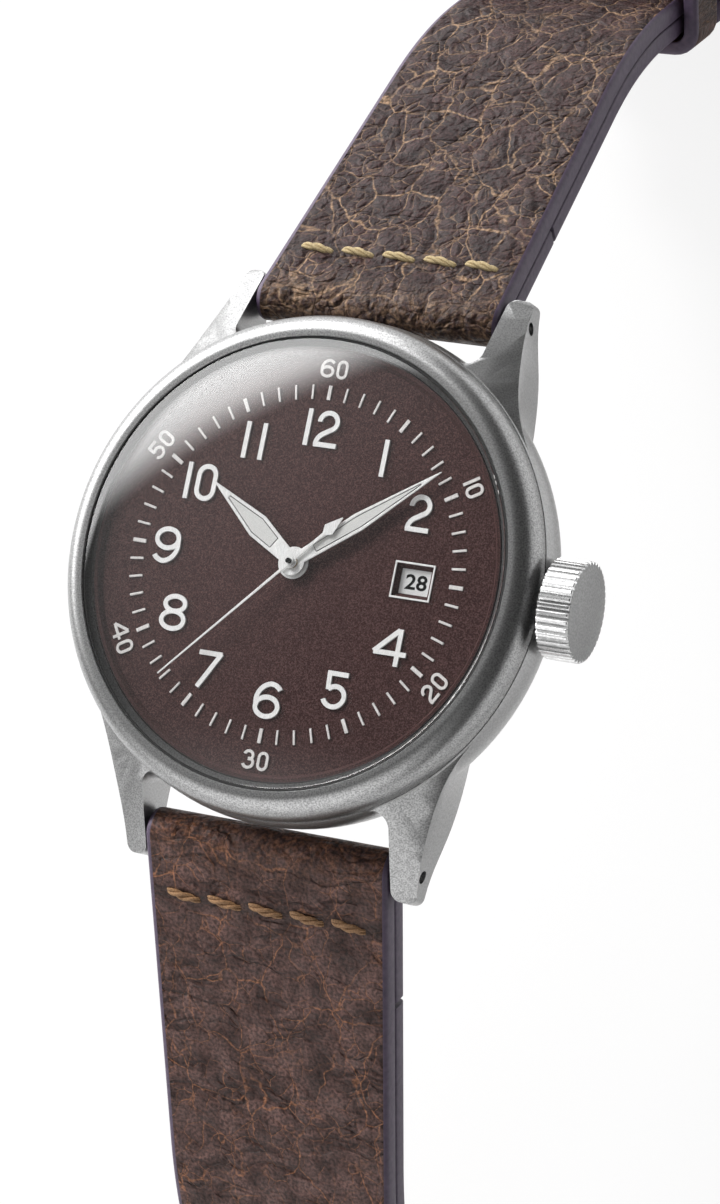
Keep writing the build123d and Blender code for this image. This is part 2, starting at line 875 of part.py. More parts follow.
# Motion work under the dial: cannon pinion, minute wheel and hour wheel

motion_floor = plate_top - motion_recess_depth
lower_motion_level = motion_floor + running_clearance
upper_motion_level = lower_motion_level + wheel_thickness + running_clearance
motion_distance = pitch_radius(cannon_teeth + minute_wheel_teeth, motion_module)
upper_motion_module = motion_distance * 2 / (minute_pinion_teeth + hour_wheel_teeth)
minute_wheel_place = at_heading(motion_distance, minute_wheel_heading)
hour_wheel_level = upper_motion_level + wheel_thickness + running_clearance
cannon_phase = minute_wheel_heading
minute_wheel_phase = mating_phase(cannon_teeth, cannon_phase, minute_wheel_teeth, minute_wheel_heading)
hour_wheel_phase = minute_wheel_heading
minute_pinion_phase = mating_phase(
    hour_wheel_teeth, hour_wheel_phase, minute_pinion_teeth, minute_wheel_heading
)

with BuildPart() as cannon_pinion:
    with BuildSketch(Plane.XY.offset(lower_motion_level)):
        draw_teeth(cannon_teeth, motion_module, cannon_phase)
    extrude(amount=wheel_thickness)
    with BuildSketch(Plane.XY.offset(lower_motion_level)):
        Circle(cannon_outer - running_clearance)
    extrude(amount=minute_hand_level - lower_motion_level)
    with BuildSketch(Plane.XY.offset(lower_motion_level - overrun)):
        Circle(centre_tube_outer)
    extrude(amount=crystal_apex, mode=Mode.SUBTRACT)
finish(cannon_pinion.part, "cannon_pinion")

with BuildPart() as minute_wheel:
    with BuildSketch(level_plane(lower_motion_level, minute_wheel_place)):
        draw_teeth(minute_wheel_teeth, motion_module, minute_wheel_phase)
    extrude(amount=wheel_thickness)
    with BuildSketch(level_plane(lower_motion_level, minute_wheel_place)):
        draw_teeth(minute_pinion_teeth, upper_motion_module, minute_pinion_phase)
    extrude(amount=hour_wheel_level + wheel_thickness - lower_motion_level)
    with BuildSketch(level_plane(lower_motion_level, minute_wheel_place)):
        Circle(pivot_radius + running_clearance)
    extrude(amount=plate_top, mode=Mode.SUBTRACT)
finish(minute_wheel.part, "minute_wheel")

with BuildPart() as hour_wheel:
    with BuildSketch(Plane.XY.offset(hour_wheel_level)):
        draw_teeth(hour_wheel_teeth, upper_motion_module, hour_wheel_phase)
    extrude(amount=wheel_thickness)
    with BuildSketch(Plane.XY.offset(hour_wheel_level)):
        Circle(dial_centre_hole - running_clearance * 2)
    extrude(amount=hour_hand_level - hour_wheel_level)
    with BuildSketch(Plane.XY.offset(hour_wheel_level - overrun)):
        Circle(hour_pipe_inner)
    extrude(amount=crystal_apex, mode=Mode.SUBTRACT)
finish(hour_wheel.part, "hour_wheel")

# Date disc: a ring under the dial, printed with the days of the month

date_disc_level = dial_bottom - date_space / 2
with BuildPart() as date_disc:
    with BuildSketch(Plane.XY.offset(date_disc_level)):
        Circle(date_disc_outer)
        Circle(date_disc_inner, mode=Mode.SUBTRACT)
    extrude(amount=date_disc_thickness)
finish(date_disc.part, "date_disc")

# Going train between the main plate and the train bridge

third_place = at_heading(pitch_radius(centre_teeth + third_pinion_teeth, centre_module), third_heading)
third_distance = math.hypot(*third_place)
third_module = third_distance * 2 / (third_teeth + fourth_pinion_teeth)
escape_distance = pitch_radius(fourth_teeth + escape_pinion_teeth, escape_module)
escape_place = at_heading(escape_distance, escape_heading)
barrel_distance = pitch_radius(centre_pinion_teeth + barrel_teeth, barrel_module)
barrel_place = at_heading(barrel_distance, barrel_heading)
barrel_radius = pitch_radius(barrel_teeth, barrel_module)
barrel_top = plate_bottom + barrel_height
balance_place = at_heading(balance_reach, balance_heading)
balance_level = fourth_level
shoulder_level = bridge_top + running_clearance
shoulder_length = plate_bottom - running_clearance - shoulder_level
pivot_level = bridge_top - jewel_thickness + running_clearance
pivot_length = plate_bottom + jewel_thickness - pivot_level

centre_phase = third_heading
centre_pinion_phase = barrel_heading
third_phase = third_heading + 180
third_pinion_phase = mating_phase(centre_teeth, centre_phase, third_pinion_teeth, third_heading)
fourth_pinion_phase = mating_phase(third_teeth, third_phase, fourth_pinion_teeth, third_heading + 180)
fourth_phase = escape_heading
escape_pinion_phase = mating_phase(fourth_teeth, fourth_phase, escape_pinion_teeth, escape_heading)
barrel_phase = mating_phase(centre_pinion_teeth, centre_pinion_phase, barrel_teeth, barrel_heading)

with BuildPart() as centre_wheel:
    with BuildSketch(Plane.XY.offset(centre_level)):
        draw_teeth(centre_teeth, centre_module, centre_phase)
        draw_crossings(pitch_radius(centre_teeth, centre_module) - wheel_rim_width, 5)
    extrude(amount=wheel_thickness)
    with BuildSketch(Plane.XY.offset(centre_level)):
        draw_teeth(centre_pinion_teeth, barrel_module, centre_pinion_phase)
    extrude(amount=plate_bottom + barrel_height / 2 - centre_level)
    with BuildSketch(Plane.XY.offset(centre_level)):
        Circle(centre_tube_outer)
    extrude(amount=minute_hand_level + hand_thickness - centre_level)
    with BuildSketch(Plane.XY.offset(centre_level - overrun)):
        Circle(arbor_radius + running_clearance)
    extrude(amount=crystal_apex, mode=Mode.SUBTRACT)
finish(centre_wheel.part, "centre_wheel")

with BuildPart() as third_wheel:
    with BuildSketch(level_plane(third_level, third_place)):
        draw_teeth(third_teeth, third_module, third_phase)
        draw_crossings(pitch_radius(third_teeth, third_module) - wheel_rim_width, 5)
    extrude(amount=wheel_thickness)
    with BuildSketch(level_plane(third_level, third_place)):
        draw_teeth(third_pinion_teeth, centre_module, third_pinion_phase)
    extrude(amount=centre_level + wheel_thickness - third_level)
    with BuildSketch(level_plane(shoulder_level, third_place)):
        Circle(arbor_radius)
    extrude(amount=shoulder_length)
    with BuildSketch(level_plane(pivot_level, third_place)):
        Circle(pivot_radius)
    extrude(amount=pivot_length)
finish(third_wheel.part, "third_wheel")

with BuildPart() as fourth_wheel:
    with BuildSketch(Plane.XY.offset(fourth_level)):
        draw_teeth(fourth_teeth, escape_module, fourth_phase)
        draw_crossings(pitch_radius(fourth_teeth, escape_module) - wheel_rim_width, 5)
    extrude(amount=wheel_thickness)
    with BuildSketch(Plane.XY.offset(fourth_level)):
        draw_teeth(fourth_pinion_teeth, third_module, fourth_pinion_phase)
    extrude(amount=third_level + wheel_thickness - fourth_level)
    with BuildSketch(Plane.XY.offset(shoulder_level)):
        Circle(arbor_radius)
    extrude(amount=hub_top - shoulder_level)
    with BuildSketch(Plane.XY.offset(pivot_level)):
        Circle(pivot_radius)
    extrude(amount=shoulder_level - pivot_level)
finish(fourth_wheel.part, "fourth_wheel")

with BuildPart() as escape_wheel:
    with BuildSketch(level_plane(third_level, escape_place)):
        Circle(escape_radius - escape_module * 5)
        draw_crossings(escape_radius - escape_module * 8, 4)
        for tooth in range(escape_teeth):
            tooth_angle = 360 * tooth / escape_teeth
            Polygon(
                at_heading(escape_radius - escape_module * 6, tooth_angle),
                at_heading(escape_radius, tooth_angle + 90 / escape_teeth),
                at_heading(escape_radius, tooth_angle + 150 / escape_teeth),
                at_heading(escape_radius - escape_module * 6, tooth_angle + 180 / escape_teeth),
            )
    extrude(amount=wheel_thickness)
    with BuildSketch(level_plane(fourth_level, escape_place)):
        draw_teeth(escape_pinion_teeth, escape_module, escape_pinion_phase)
    extrude(amount=third_level - fourth_level)
    with BuildSketch(level_plane(shoulder_level, escape_place)):
        Circle(arbor_radius)
    extrude(amount=shoulder_length)
    with BuildSketch(level_plane(pivot_level, escape_place)):
        Circle(pivot_radius)
    extrude(amount=pivot_length)
finish(escape_wheel.part, "escape_wheel")

with BuildPart() as mainspring_barrel:
    with BuildSketch(level_plane(plate_bottom, barrel_place)):
        draw_teeth(barrel_teeth, barrel_module, barrel_phase)
    extrude(amount=barrel_wall)
    with BuildSketch(level_plane(plate_bottom, barrel_place)):
        Circle(barrel_radius - barrel_module * 2)
    extrude(amount=barrel_height)
    with BuildSketch(level_plane(plate_bottom + barrel_wall, barrel_place)):
        Circle(barrel_radius - barrel_module * 2 - barrel_wall)
    extrude(amount=barrel_height - barrel_wall * 2, mode=Mode.SUBTRACT)
    with BuildSketch(level_plane(plate_bottom - overrun, barrel_place)):
        Circle(arbor_radius * 3 + running_clearance)
    extrude(amount=barrel_height + overrun * 2, mode=Mode.SUBTRACT)
finish(mainspring_barrel.part, "mainspring_barrel")


def draw_spiral(inner, outer, turns, thickness, steps_per_turn=24):
    """A flat spiral strip, its radius growing evenly with its turn."""
    steps = turns * steps_per_turn
    inside, outside = [], []
    for step in range(steps + 1):
        radius = inner + (outer - inner) * step / steps
        turn = 360 * step / steps_per_turn
        inside.append(at_heading(radius, turn))
        outside.append(at_heading(radius + thickness, turn))
    Polygon(*inside, *reversed(outside))


barrel_inside = barrel_radius - barrel_module * 2 - barrel_wall
with BuildPart() as mainspring:
    with BuildSketch(level_plane(plate_bottom + barrel_wall + running_clearance, barrel_place)):
        draw_spiral(
            arbor_radius * 3 + running_clearance * 2,
            barrel_inside - mainspring_thickness - running_clearance,
            mainspring_turns,
            mainspring_thickness,
        )
    extrude(amount=barrel_height - barrel_wall * 2 - running_clearance * 2)
finish(mainspring.part, "mainspring")

ratchet_level = bridge_bottom - wheel_thickness
with BuildPart() as ratchet_wheel:
    with BuildSketch(level_plane(ratchet_level, barrel_place)):
        draw_teeth(barrel_teeth // 2, barrel_module, 0)
    extrude(amount=wheel_thickness)
    with BuildSketch(level_plane(ratchet_level, barrel_place)):
        Circle(arbor_radius * 3)
    extrude(amount=barrel_top - ratchet_level)
finish(ratchet_wheel.part, "ratchet_wheel")

# Escapement: pallet fork, balance and hairspring

to_balance = (balance_place[0] - escape_place[0], balance_place[1] - escape_place[1])
escape_to_balance = math.hypot(*to_balance)
fork_heading = math.degrees(math.atan2(to_balance[1], to_balance[0]))
pallet_reach = escape_radius / math.cos(math.radians(pallet_lock_angle))
pallet_place = shifted(escape_place, at_heading(pallet_reach, fork_heading))
fork_level = third_level + wheel_thickness + running_clearance * 2
roller_radius = arbor_radius * 3
fork_length = escape_to_balance - pallet_reach - roller_radius - running_clearance * 4
stone_reach = escape_radius + pallet_stone_gap + pallet_stone_length / 2

with BuildPart() as pallet_fork:
    escape_plane = level_plane(fork_level, escape_place, fork_heading)
    with BuildSketch(escape_plane):
        for side in (-1, 1):
            stone = at_heading(stone_reach, side * pallet_lock_angle)
            draw_straight_stroke((pallet_reach, 0), stone, wheel_arm_width)
        draw_straight_stroke((pallet_reach, 0), (pallet_reach + fork_length, 0), wheel_arm_width)
        with Locations((pallet_reach, 0)):
            Circle(wheel_arm_width)
        with Locations((pallet_reach + fork_length - wheel_arm_width / 2, 0)):
            Rectangle(wheel_arm_width, wheel_arm_width * 2)
        with Locations((pallet_reach + fork_length, 0)):
            Rectangle(wheel_arm_width, wheel_arm_width / 2, mode=Mode.SUBTRACT)
    extrude(amount=pallet_thickness)
    with BuildSketch(level_plane(third_level, escape_place, fork_heading)):
        for side in (-1, 1):
            stone_start = at_heading(escape_radius + pallet_stone_gap, side * pallet_lock_angle)
            stone_end = at_heading(stone_reach + pallet_stone_length / 2, side * pallet_lock_angle)
            draw_straight_stroke(stone_start, stone_end, pallet_stone_length / 2)
    extrude(amount=fork_level + pallet_thickness - third_level)
    with BuildSketch(level_plane(shoulder_level, pallet_place)):
        Circle(arbor_radius)
    extrude(amount=shoulder_length)
    with BuildSketch(level_plane(pivot_level, pallet_place)):
        Circle(pivot_radius)
    extrude(amount=pivot_length)
finish(pallet_fork.part, "pallet_fork")

with BuildPart() as balance_wheel:
    with BuildSketch(level_plane(balance_level, balance_place)):
        Circle(balance_radius)
        Circle(balance_radius - balance_rim_width, mode=Mode.SUBTRACT)
    extrude(amount=balance_height)
    with BuildSketch(level_plane(balance_level, balance_place)):
        Rectangle(balance_radius * 2 - balance_rim_width, wheel_arm_width * 2)
        Circle(roller_radius)
    extrude(amount=balance_height / 2)
    with BuildSketch(level_plane(balance_level, balance_place)):
        Circle(roller_radius)
    extrude(amount=fork_level + pallet_thickness - balance_level)
    with BuildSketch(level_plane(shoulder_level, balance_place)):
        Circle(arbor_radius)
    extrude(amount=shoulder_length)
    with BuildSketch(level_plane(pivot_level, balance_place)):
        Circle(pivot_radius)
    extrude(amount=pivot_length)
finish(balance_wheel.part, "balance_wheel")

hairspring_level = bridge_top + running_clearance * 2
with BuildPart() as hairspring:
    with BuildSketch(level_plane(hairspring_level, balance_place)):
        Circle(arbor_radius * 2)
        draw_spiral(arbor_radius * 1.5, hairspring_outer, hairspring_turns, hairspring_thickness)
        Circle(arbor_radius, mode=Mode.SUBTRACT)
    extrude(amount=wheel_thickness)
finish(hairspring.part, "hairspring")

# Main plate, train bridge, balance cock, jewels and screws

stem_channel_radius = clutch_radius + running_clearance * 2
arbor_places = {
    "third": third_place,
    "escape": escape_place,
    "pallet": pallet_place,
    "balance": balance_place,
}
bridge_outer = movement_radius - movement_ring_gap
cock_heading = balance_heading
cock_pillar_headings = (cock_heading - cock_pillar_turn, cock_heading + cock_pillar_turn)

with BuildPart() as mainplate:
    with BuildSketch(Plane.XY.offset(plate_bottom)):
        Circle(movement_radius)
    extrude(amount=plate_thickness)
    with BuildSketch(Plane.XY.offset(motion_floor)):
        Circle(motion_recess_radius)
    extrude(amount=plate_thickness, mode=Mode.SUBTRACT)
    with BuildSketch(Plane.XY.offset(date_disc_level - running_clearance)):
        Circle(date_disc_outer + running_clearance * 2)
        Circle(date_disc_inner - running_clearance * 2, mode=Mode.SUBTRACT)
    extrude(amount=plate_thickness, mode=Mode.SUBTRACT)
    with BuildSketch(level_plane(plate_bottom - overrun, barrel_place)):
        Circle(barrel_radius + barrel_module * 2)
    extrude(amount=barrel_height + overrun + running_clearance, mode=Mode.SUBTRACT)
    with BuildSketch(Plane.XY.offset(plate_bottom - overrun)):
        Circle(centre_tube_outer + barrel_module * 5)
    extrude(amount=barrel_height / 2 + overrun + running_clearance * 2, mode=Mode.SUBTRACT)
    with BuildSketch(Plane.XY.offset(plate_bottom - overrun)):
        Circle(centre_tube_outer + running_clearance)
        for place in arbor_places.values():
            with Locations(place):
                Circle(pivot_radius + running_clearance)
    extrude(amount=plate_thickness + overrun * 2, mode=Mode.SUBTRACT)
    with BuildSketch(Plane.XY.offset(plate_bottom - overrun)):
        for heading in (*pillar_headings, *cock_pillar_headings):
            with Locations(at_heading(pillar_reach, heading)):
                Circle(screw_radius + running_clearance)
    extrude(amount=overrun + screw_bite + running_clearance, mode=Mode.SUBTRACT)
    with BuildSketch(level_plane(motion_floor, minute_wheel_place)):
        Circle(pivot_radius)
    extrude(amount=hour_wheel_level + wheel_thickness - motion_floor)
    with BuildSketch(stem_axis.offset(stem_inner_end - clutch_length)):
        Circle(stem_channel_radius)
        with Locations((0, -stem_channel_radius)):
            Rectangle(stem_channel_radius * 2, stem_channel_radius * 2)
    extrude(amount=movement_radius, mode=Mode.SUBTRACT)
finish(mainplate.part, "mainplate")

jewel_places = [(0, 0), *arbor_places.values()]


def draw_sector(inner, outer, heading, half_turn, mode=Mode.ADD):
    """A slice of a ring about the dial's centre."""
    first, last = heading - half_turn, heading + half_turn
    with BuildLine() as rim:
        Line(at_heading(inner, first), at_heading(outer, first))
        ThreePointArc(at_heading(outer, first), at_heading(outer, heading), at_heading(outer, last))
        Line(at_heading(outer, last), at_heading(inner, last))
        ThreePointArc(at_heading(inner, last), at_heading(inner, heading), at_heading(inner, first))
    make_face(rim.edges(), mode=mode)


with BuildPart() as train_bridge:
    with BuildSketch(Plane.XY.offset(bridge_bottom)):
        Circle(bridge_outer)
        draw_sector(
            cock_inner - sector_gap, movement_radius + overrun, cock_heading, bridge_half_gap, Mode.SUBTRACT
        )
    extrude(amount=bridge_thickness)
    with BuildSketch(Plane.XY.offset(bridge_bottom)):
        for heading in pillar_headings:
            with Locations(at_heading(pillar_reach, heading)):
                Circle(pillar_radius)
    extrude(amount=plate_bottom - bridge_bottom)
    with BuildSketch(Plane.XY.offset(bridge_top - jewel_thickness)):
        for place in jewel_places[:3]:
            with Locations(place):
                Circle(jewel_radius)
    extrude(amount=bridge_thickness, mode=Mode.SUBTRACT)
    with BuildSketch(Plane.XY.offset(bridge_bottom - overrun)):
        for heading in pillar_headings:
            with Locations(at_heading(pillar_reach, heading)):
                Circle(screw_radius + running_clearance)
        with Locations(barrel_place):
            Circle(arbor_radius * 3 + running_clearance)
    extrude(amount=train_space + bridge_thickness + overrun * 2, mode=Mode.SUBTRACT)
    with BuildSketch(Plane.XY.offset(bridge_bottom - overrun)):
        for heading in pillar_headings:
            with Locations(at_heading(pillar_reach, heading)):
                Circle(screw_head_radius + running_clearance)
    extrude(amount=screw_head_height + overrun, mode=Mode.SUBTRACT)
finish(train_bridge.part, "train_bridge")

with BuildPart() as balance_cock:
    with BuildSketch(Plane.XY.offset(bridge_bottom)):
        draw_sector(
            cock_inner,
            bridge_outer,
            cock_heading,
            bridge_half_gap - math.degrees(sector_gap / cock_inner),
        )
    extrude(amount=bridge_thickness)
    with BuildSketch(Plane.XY.offset(bridge_bottom)):
        for heading in cock_pillar_headings:
            with Locations(at_heading(pillar_reach, heading)):
                Circle(pillar_radius)
    extrude(amount=plate_bottom - bridge_bottom)
    with BuildSketch(Plane.XY.offset(bridge_top - jewel_thickness)):
        for place in jewel_places[3:]:
            with Locations(place):
                Circle(jewel_radius)
    extrude(amount=bridge_thickness, mode=Mode.SUBTRACT)
    with BuildSketch(Plane.XY.offset(bridge_bottom - overrun)):
        for heading in cock_pillar_headings:
            with Locations(at_heading(pillar_reach, heading)):
                Circle(screw_radius + running_clearance)
    extrude(amount=train_space + bridge_thickness + overrun * 2, mode=Mode.SUBTRACT)
    with BuildSketch(Plane.XY.offset(bridge_bottom - overrun)):
        for heading in cock_pillar_headings:
            with Locations(at_heading(pillar_reach, heading)):
                Circle(screw_head_radius + running_clearance)
    extrude(amount=screw_head_height + overrun, mode=Mode.SUBTRACT)
finish(balance_cock.part, "balance_cock")

with BuildPart() as jewels:
    with BuildSketch(Plane.XY.offset(bridge_top - jewel_thickness)):
        for place in jewel_places:
            with Locations(place):
                Circle(jewel_radius)
                Circle(pivot_radius + running_clearance, mode=Mode.SUBTRACT)
    extrude(amount=jewel_thickness)
finish(jewels.part, "jewels")

with BuildPart() as movement_screws:
    screw_places = [
        at_heading(pillar_reach, heading) for heading in (*pillar_headings, *cock_pillar_headings)
    ]
    with BuildSketch(Plane.XY.offset(bridge_bottom)):
        for place in screw_places:
            with Locations(place):
                Circle(screw_head_radius)
                Rectangle(screw_head_radius * 2 + overrun, screw_slot_width, mode=Mode.SUBTRACT)
    extrude(amount=screw_head_height / 2)
    with BuildSketch(Plane.XY.offset(bridge_bottom + screw_head_height / 2)):
        for place in screw_places:
            with Locations(place):
                Circle(screw_head_radius)
    extrude(amount=screw_head_height / 2)
    with BuildSketch(Plane.XY.offset(bridge_bottom + screw_head_height)):
        for place in screw_places:
            with Locations(place):
                Circle(screw_radius)
    extrude(amount=plate_bottom + screw_bite - bridge_bottom - screw_head_height)
finish(movement_screws.part, "movement_screws")

with BuildPart() as movement_ring:
    with BuildSketch(Plane.XY.offset(case_bottom + back_seat_height)):
        Circle(case_bore - movement_ring_gap)
        Circle(movement_radius + movement_ring_gap, mode=Mode.SUBTRACT)
    extrude(amount=dial_bottom - case_bottom - back_seat_height)
    with BuildSketch(stem_axis):
        Circle(tube_radius)
    extrude(amount=bezel_radius, mode=Mode.SUBTRACT)
finish(movement_ring.part, "movement_ring")

# Winding rotor: a half disc with a heavy rim, on an axle under the train bridge

rotor_bottom = rotor_top - rotor_thickness
rotor_plate_radius = movement_radius - rotor_rim_width
with BuildPart() as rotor:
    with BuildSketch(Plane.XY.offset(rotor_bottom)):
        draw_sector(rotor_axle_radius, rotor_plate_radius, rotor_heading, rotor_half_turn)
        Circle(rotor_hub_radius)
        for side in (-1, 1):
            draw_sector(
                rotor_hub_radius + wheel_arm_width,
                rotor_plate_radius * rotor_window_share,
                rotor_heading + side * rotor_window_heading,
                rotor_window_half_turn,
                Mode.SUBTRACT,
            )
        Circle(rotor_axle_radius + running_clearance, mode=Mode.SUBTRACT)
    extrude(amount=rotor_thickness)
finish(rotor.part, "rotor")

with BuildPart() as rotor_weight:
    with BuildSketch(Plane.XY.offset(rotor_bottom - rotor_rim_extra)):
        draw_sector(
            rotor_plate_radius, movement_radius - running_clearance * 4, rotor_heading, rotor_half_turn
        )
    extrude(amount=rotor_thickness + rotor_rim_extra)
finish(rotor_weight.part, "rotor_weight")

with BuildPart() as rotor_axle:
    axle_head_level = rotor_bottom - running_clearance - screw_head_height
    with BuildSketch(Plane.XY.offset(axle_head_level)):
        Circle(rotor_hub_radius - wheel_arm_width)
    extrude(amount=screw_head_height)
    with BuildSketch(Plane.XY.offset(axle_head_level)):
        Circle(rotor_axle_radius)
    extrude(amount=bridge_bottom - axle_head_level)
finish(rotor_axle.part, "rotor_axle")

# Crown, its tube and the stem, all turned about the stem's axis

crown_start = flank_radius + crown_case_gap
crown_end = crown_start + crown_length
crown_side = Plane(origin=(0, 0, crown_level), x_dir=(1, 0, 0), z_dir=(0, -1, 0))
crown_axis = Axis((0, 0, crown_level), (1, 0, 0))
crown_cup_radius = tube_radius + crown_gasket_wire + running_clearance
cup_end = crown_start + crown_cup_depth

with BuildPart() as crown:
    with BuildSketch(crown_side):
        with BuildLine():
            end_rim = (crown_end, crown_radius - crown_end_bevel)
            end_centre = (crown_end + crown_end_rise, 0)
            TangentArc(end_centre, end_rim, tangent=(0, 1))
            Polyline(
                end_centre,
                (cup_end + stem_socket, 0),
                (cup_end + stem_socket, stem_radius),
                (cup_end, stem_radius),
                (cup_end, crown_cup_radius),
                (crown_start, crown_cup_radius),
                (crown_start, crown_radius - crown_end_bevel / 2),
                (crown_start + crown_end_bevel / 2, crown_radius),
                (crown_end - crown_end_bevel, crown_radius),
                end_rim,
            )
        make_face()
    revolve(axis=crown_axis)
    with BuildSketch(stem_axis.offset(crown_start - overrun)):
        with PolarLocations(crown_radius, crown_flutes):
            Polygon(
                (-crown_flute_depth, 0),
                (crown_flute_depth, -crown_flute_width),
                (crown_flute_depth, crown_flute_width),
                align=None,
            )
    extrude(amount=crown_length + overrun * 2, mode=Mode.SUBTRACT)
finish(crown.part, "crown")

with BuildPart() as crown_tube:
    with BuildSketch(stem_axis.offset(case_bore)):
        Circle(tube_radius)
        Circle(tube_radius - tube_wall, mode=Mode.SUBTRACT)
    extrude(amount=crown_start + tube_standout - case_bore)
finish(crown_tube.part, "crown_tube")

with BuildPart() as crown_gasket:
    with BuildSketch(stem_axis.offset(crown_start + running_clearance)):
        Circle(crown_cup_radius)
        Circle(tube_radius + running_clearance, mode=Mode.SUBTRACT)
    extrude(amount=crown_gasket_wire)
finish(crown_gasket.part, "crown_gasket")

clutch_start = stem_inner_end + crown_pull + clutch_end_gap
with BuildPart() as winding_stem:
    with BuildSketch(stem_axis.offset(movement_radius)):
        Circle(stem_radius)
    extrude(amount=cup_end + stem_socket - movement_radius)
    with BuildSketch(stem_axis.offset(stem_inner_end)):
        Rectangle(stem_square, stem_square)
    extrude(amount=movement_radius - stem_inner_end)
finish(winding_stem.part, "winding_stem")

with BuildPart() as clutch_wheel:
    with BuildSketch(stem_axis.offset(clutch_start)):
        draw_teeth(clutch_teeth, clutch_radius * 2 / (clutch_teeth + tooth_rise_share * 2), 0)
        Rectangle(
            stem_square + running_clearance * 2, stem_square + running_clearance * 2, mode=Mode.SUBTRACT
        )
    extrude(amount=clutch_length)
finish(clutch_wheel.part, "clutch_wheel")

# Caseback: a screwed steel cover with key slots and a sealing ring

with BuildPart() as caseback:
    with BuildSketch(Plane.XY):
        Circle(back_rim_radius)
    extrude(amount=case_bottom)
    fillet(caseback.edges().group_by(Axis.Z)[0], radius=back_rim_round)
    with BuildSketch(Plane.XY.offset(case_bottom)):
        Circle(back_bore - running_clearance)
    extrude(amount=back_seat_height - running_clearance)
    with BuildSketch(Plane.XY.offset(back_floor)):
        Circle(back_inner_radius)
    extrude(amount=case_height, mode=Mode.SUBTRACT)
    with BuildSketch(Plane.XY.offset(case_bottom - back_gasket_wire)):
        Circle(back_groove_radius + back_gasket_wire)
        Circle(back_groove_radius, mode=Mode.SUBTRACT)
    extrude(amount=back_gasket_wire, mode=Mode.SUBTRACT)
    with BuildSketch(Plane.XY):
        with PolarLocations(back_rim_radius - back_slot_length / 2, back_slots):
            Rectangle(back_slot_length + overrun, back_slot_width)
    extrude(amount=back_slot_depth, mode=Mode.SUBTRACT)
finish(caseback.part, "caseback")

with BuildPart() as caseback_gasket:
    with BuildSketch(Plane.XY.offset(case_bottom - back_gasket_wire)):
        Circle(back_groove_radius + back_gasket_wire)
        Circle(back_groove_radius, mode=Mode.SUBTRACT)
    extrude(amount=back_gasket_wire)
finish(caseback_gasket.part, "caseback_gasket")

# Spring bars: a tube between the lugs with a tip in each lug

bar_half_length = lug_inner - bar_shoulder_gap
for bar_name, side in (("spring_bar_upper", 1), ("spring_bar_lower", -1)):
    bar_plane = Plane(
        origin=(0, side * bar_reach, bar_height), z_dir=(1, 0, 0), x_dir=(0, 1, 0)
    )
    with BuildPart() as spring_bar:
        with BuildSketch(bar_plane):
            Circle(bar_radius)
            Circle(bar_tip_radius + running_clearance, mode=Mode.SUBTRACT)
        extrude(amount=bar_half_length, both=True)
        for end in (-1, 1):
            with BuildSketch(bar_plane.offset(end * (bar_half_length - bar_tip_length))):
                Circle(bar_tip_radius)
            extrude(amount=end * (bar_tip_length + bar_shoulder_gap + bar_tip_bite))
    finish(spring_bar.part, bar_name)

# Strap: each half follows straight runs and bends from its spring bar to the floor


def follow(start, heading, runs):
    """Stations along runs. A run is a length with no turn, or a radius with a turn."""
    stations = []
    point = start
    for size, turn in runs:
        stations.append((point, heading, size, turn))
        if turn == 0:
            point = shifted(point, at_heading(size, heading))
        else:
            side = 90 if turn > 0 else -90
            centre = shifted(point, at_heading(size, heading + side))
            heading += turn
            point = shifted(centre, at_heading(size, heading - side))
    stations.append((point, heading, 0, 0))
    return stations


def draw_band(stations, upper, lower):
    """The closed band between two offsets of a followed line."""
    with BuildLine() as outline:
        for offset in (upper, lower):
            for here, after in zip(stations, stations[1:]):
                point, heading, size, turn = here
                start = shifted(point, at_heading(offset, heading + 90))
                end = shifted(after[0], at_heading(offset, after[1] + 90))
                if turn == 0:
                    Line(start, end)
                else:
                    side = 90 if turn > 0 else -90
                    centre = shifted(point, at_heading(size, heading + side))
                    middle_heading = heading + turn / 2
                    middle_line = shifted(centre, at_heading(size, middle_heading - side))
                    middle = shifted(middle_line, at_heading(offset, middle_heading + 90))
                    ThreePointArc(start, middle, end)
        for point, heading, _, _ in (stations[0], stations[-1]):
            Line(
                shifted(point, at_heading(upper, heading + 90)),
                shifted(point, at_heading(lower, heading + 90)),
            )
    make_face(outline.edges())


half_thickness = strap_thickness / 2
upper_side = Plane.YZ
lower_side = Plane(origin=(0, 0, 0), x_dir=(0, -1, 0), z_dir=(-1, 0, 0))
bar_point = (bar_reach, bar_height)
upper_runs = [
    (strap_first_run, 0),
    (upper_bend_radius, upper_slope - steep_slope),
    (upper_steep_run, 0),
    (upper_foot_radius, steep_slope),
    (upper_foot_run, 0),
]
upper_line = follow(bar_point, -upper_slope, upper_runs)
foot_level = upper_line[-1][0][1]
lower_bend = follow(
    bar_point, -lower_slope, [(strap_first_run, 0), (lower_bend_radius, lower_slope - steep_slope)]
)
lower_foot_drop = lower_foot_radius * (1 - math.cos(math.radians(steep_slope)))
lower_drop = lower_bend[-1][0][1] - foot_level - lower_foot_drop
lower_runs = [
    (strap_first_run, 0),
    (lower_bend_radius, lower_slope - steep_slope),
    (lower_drop / math.sin(math.radians(steep_slope)), 0),
    (lower_foot_radius, steep_slope),
    (lower_foot_run, 0),
]
lower_line = follow(bar_point, -lower_slope, lower_runs)
floor_level = foot_level - half_thickness


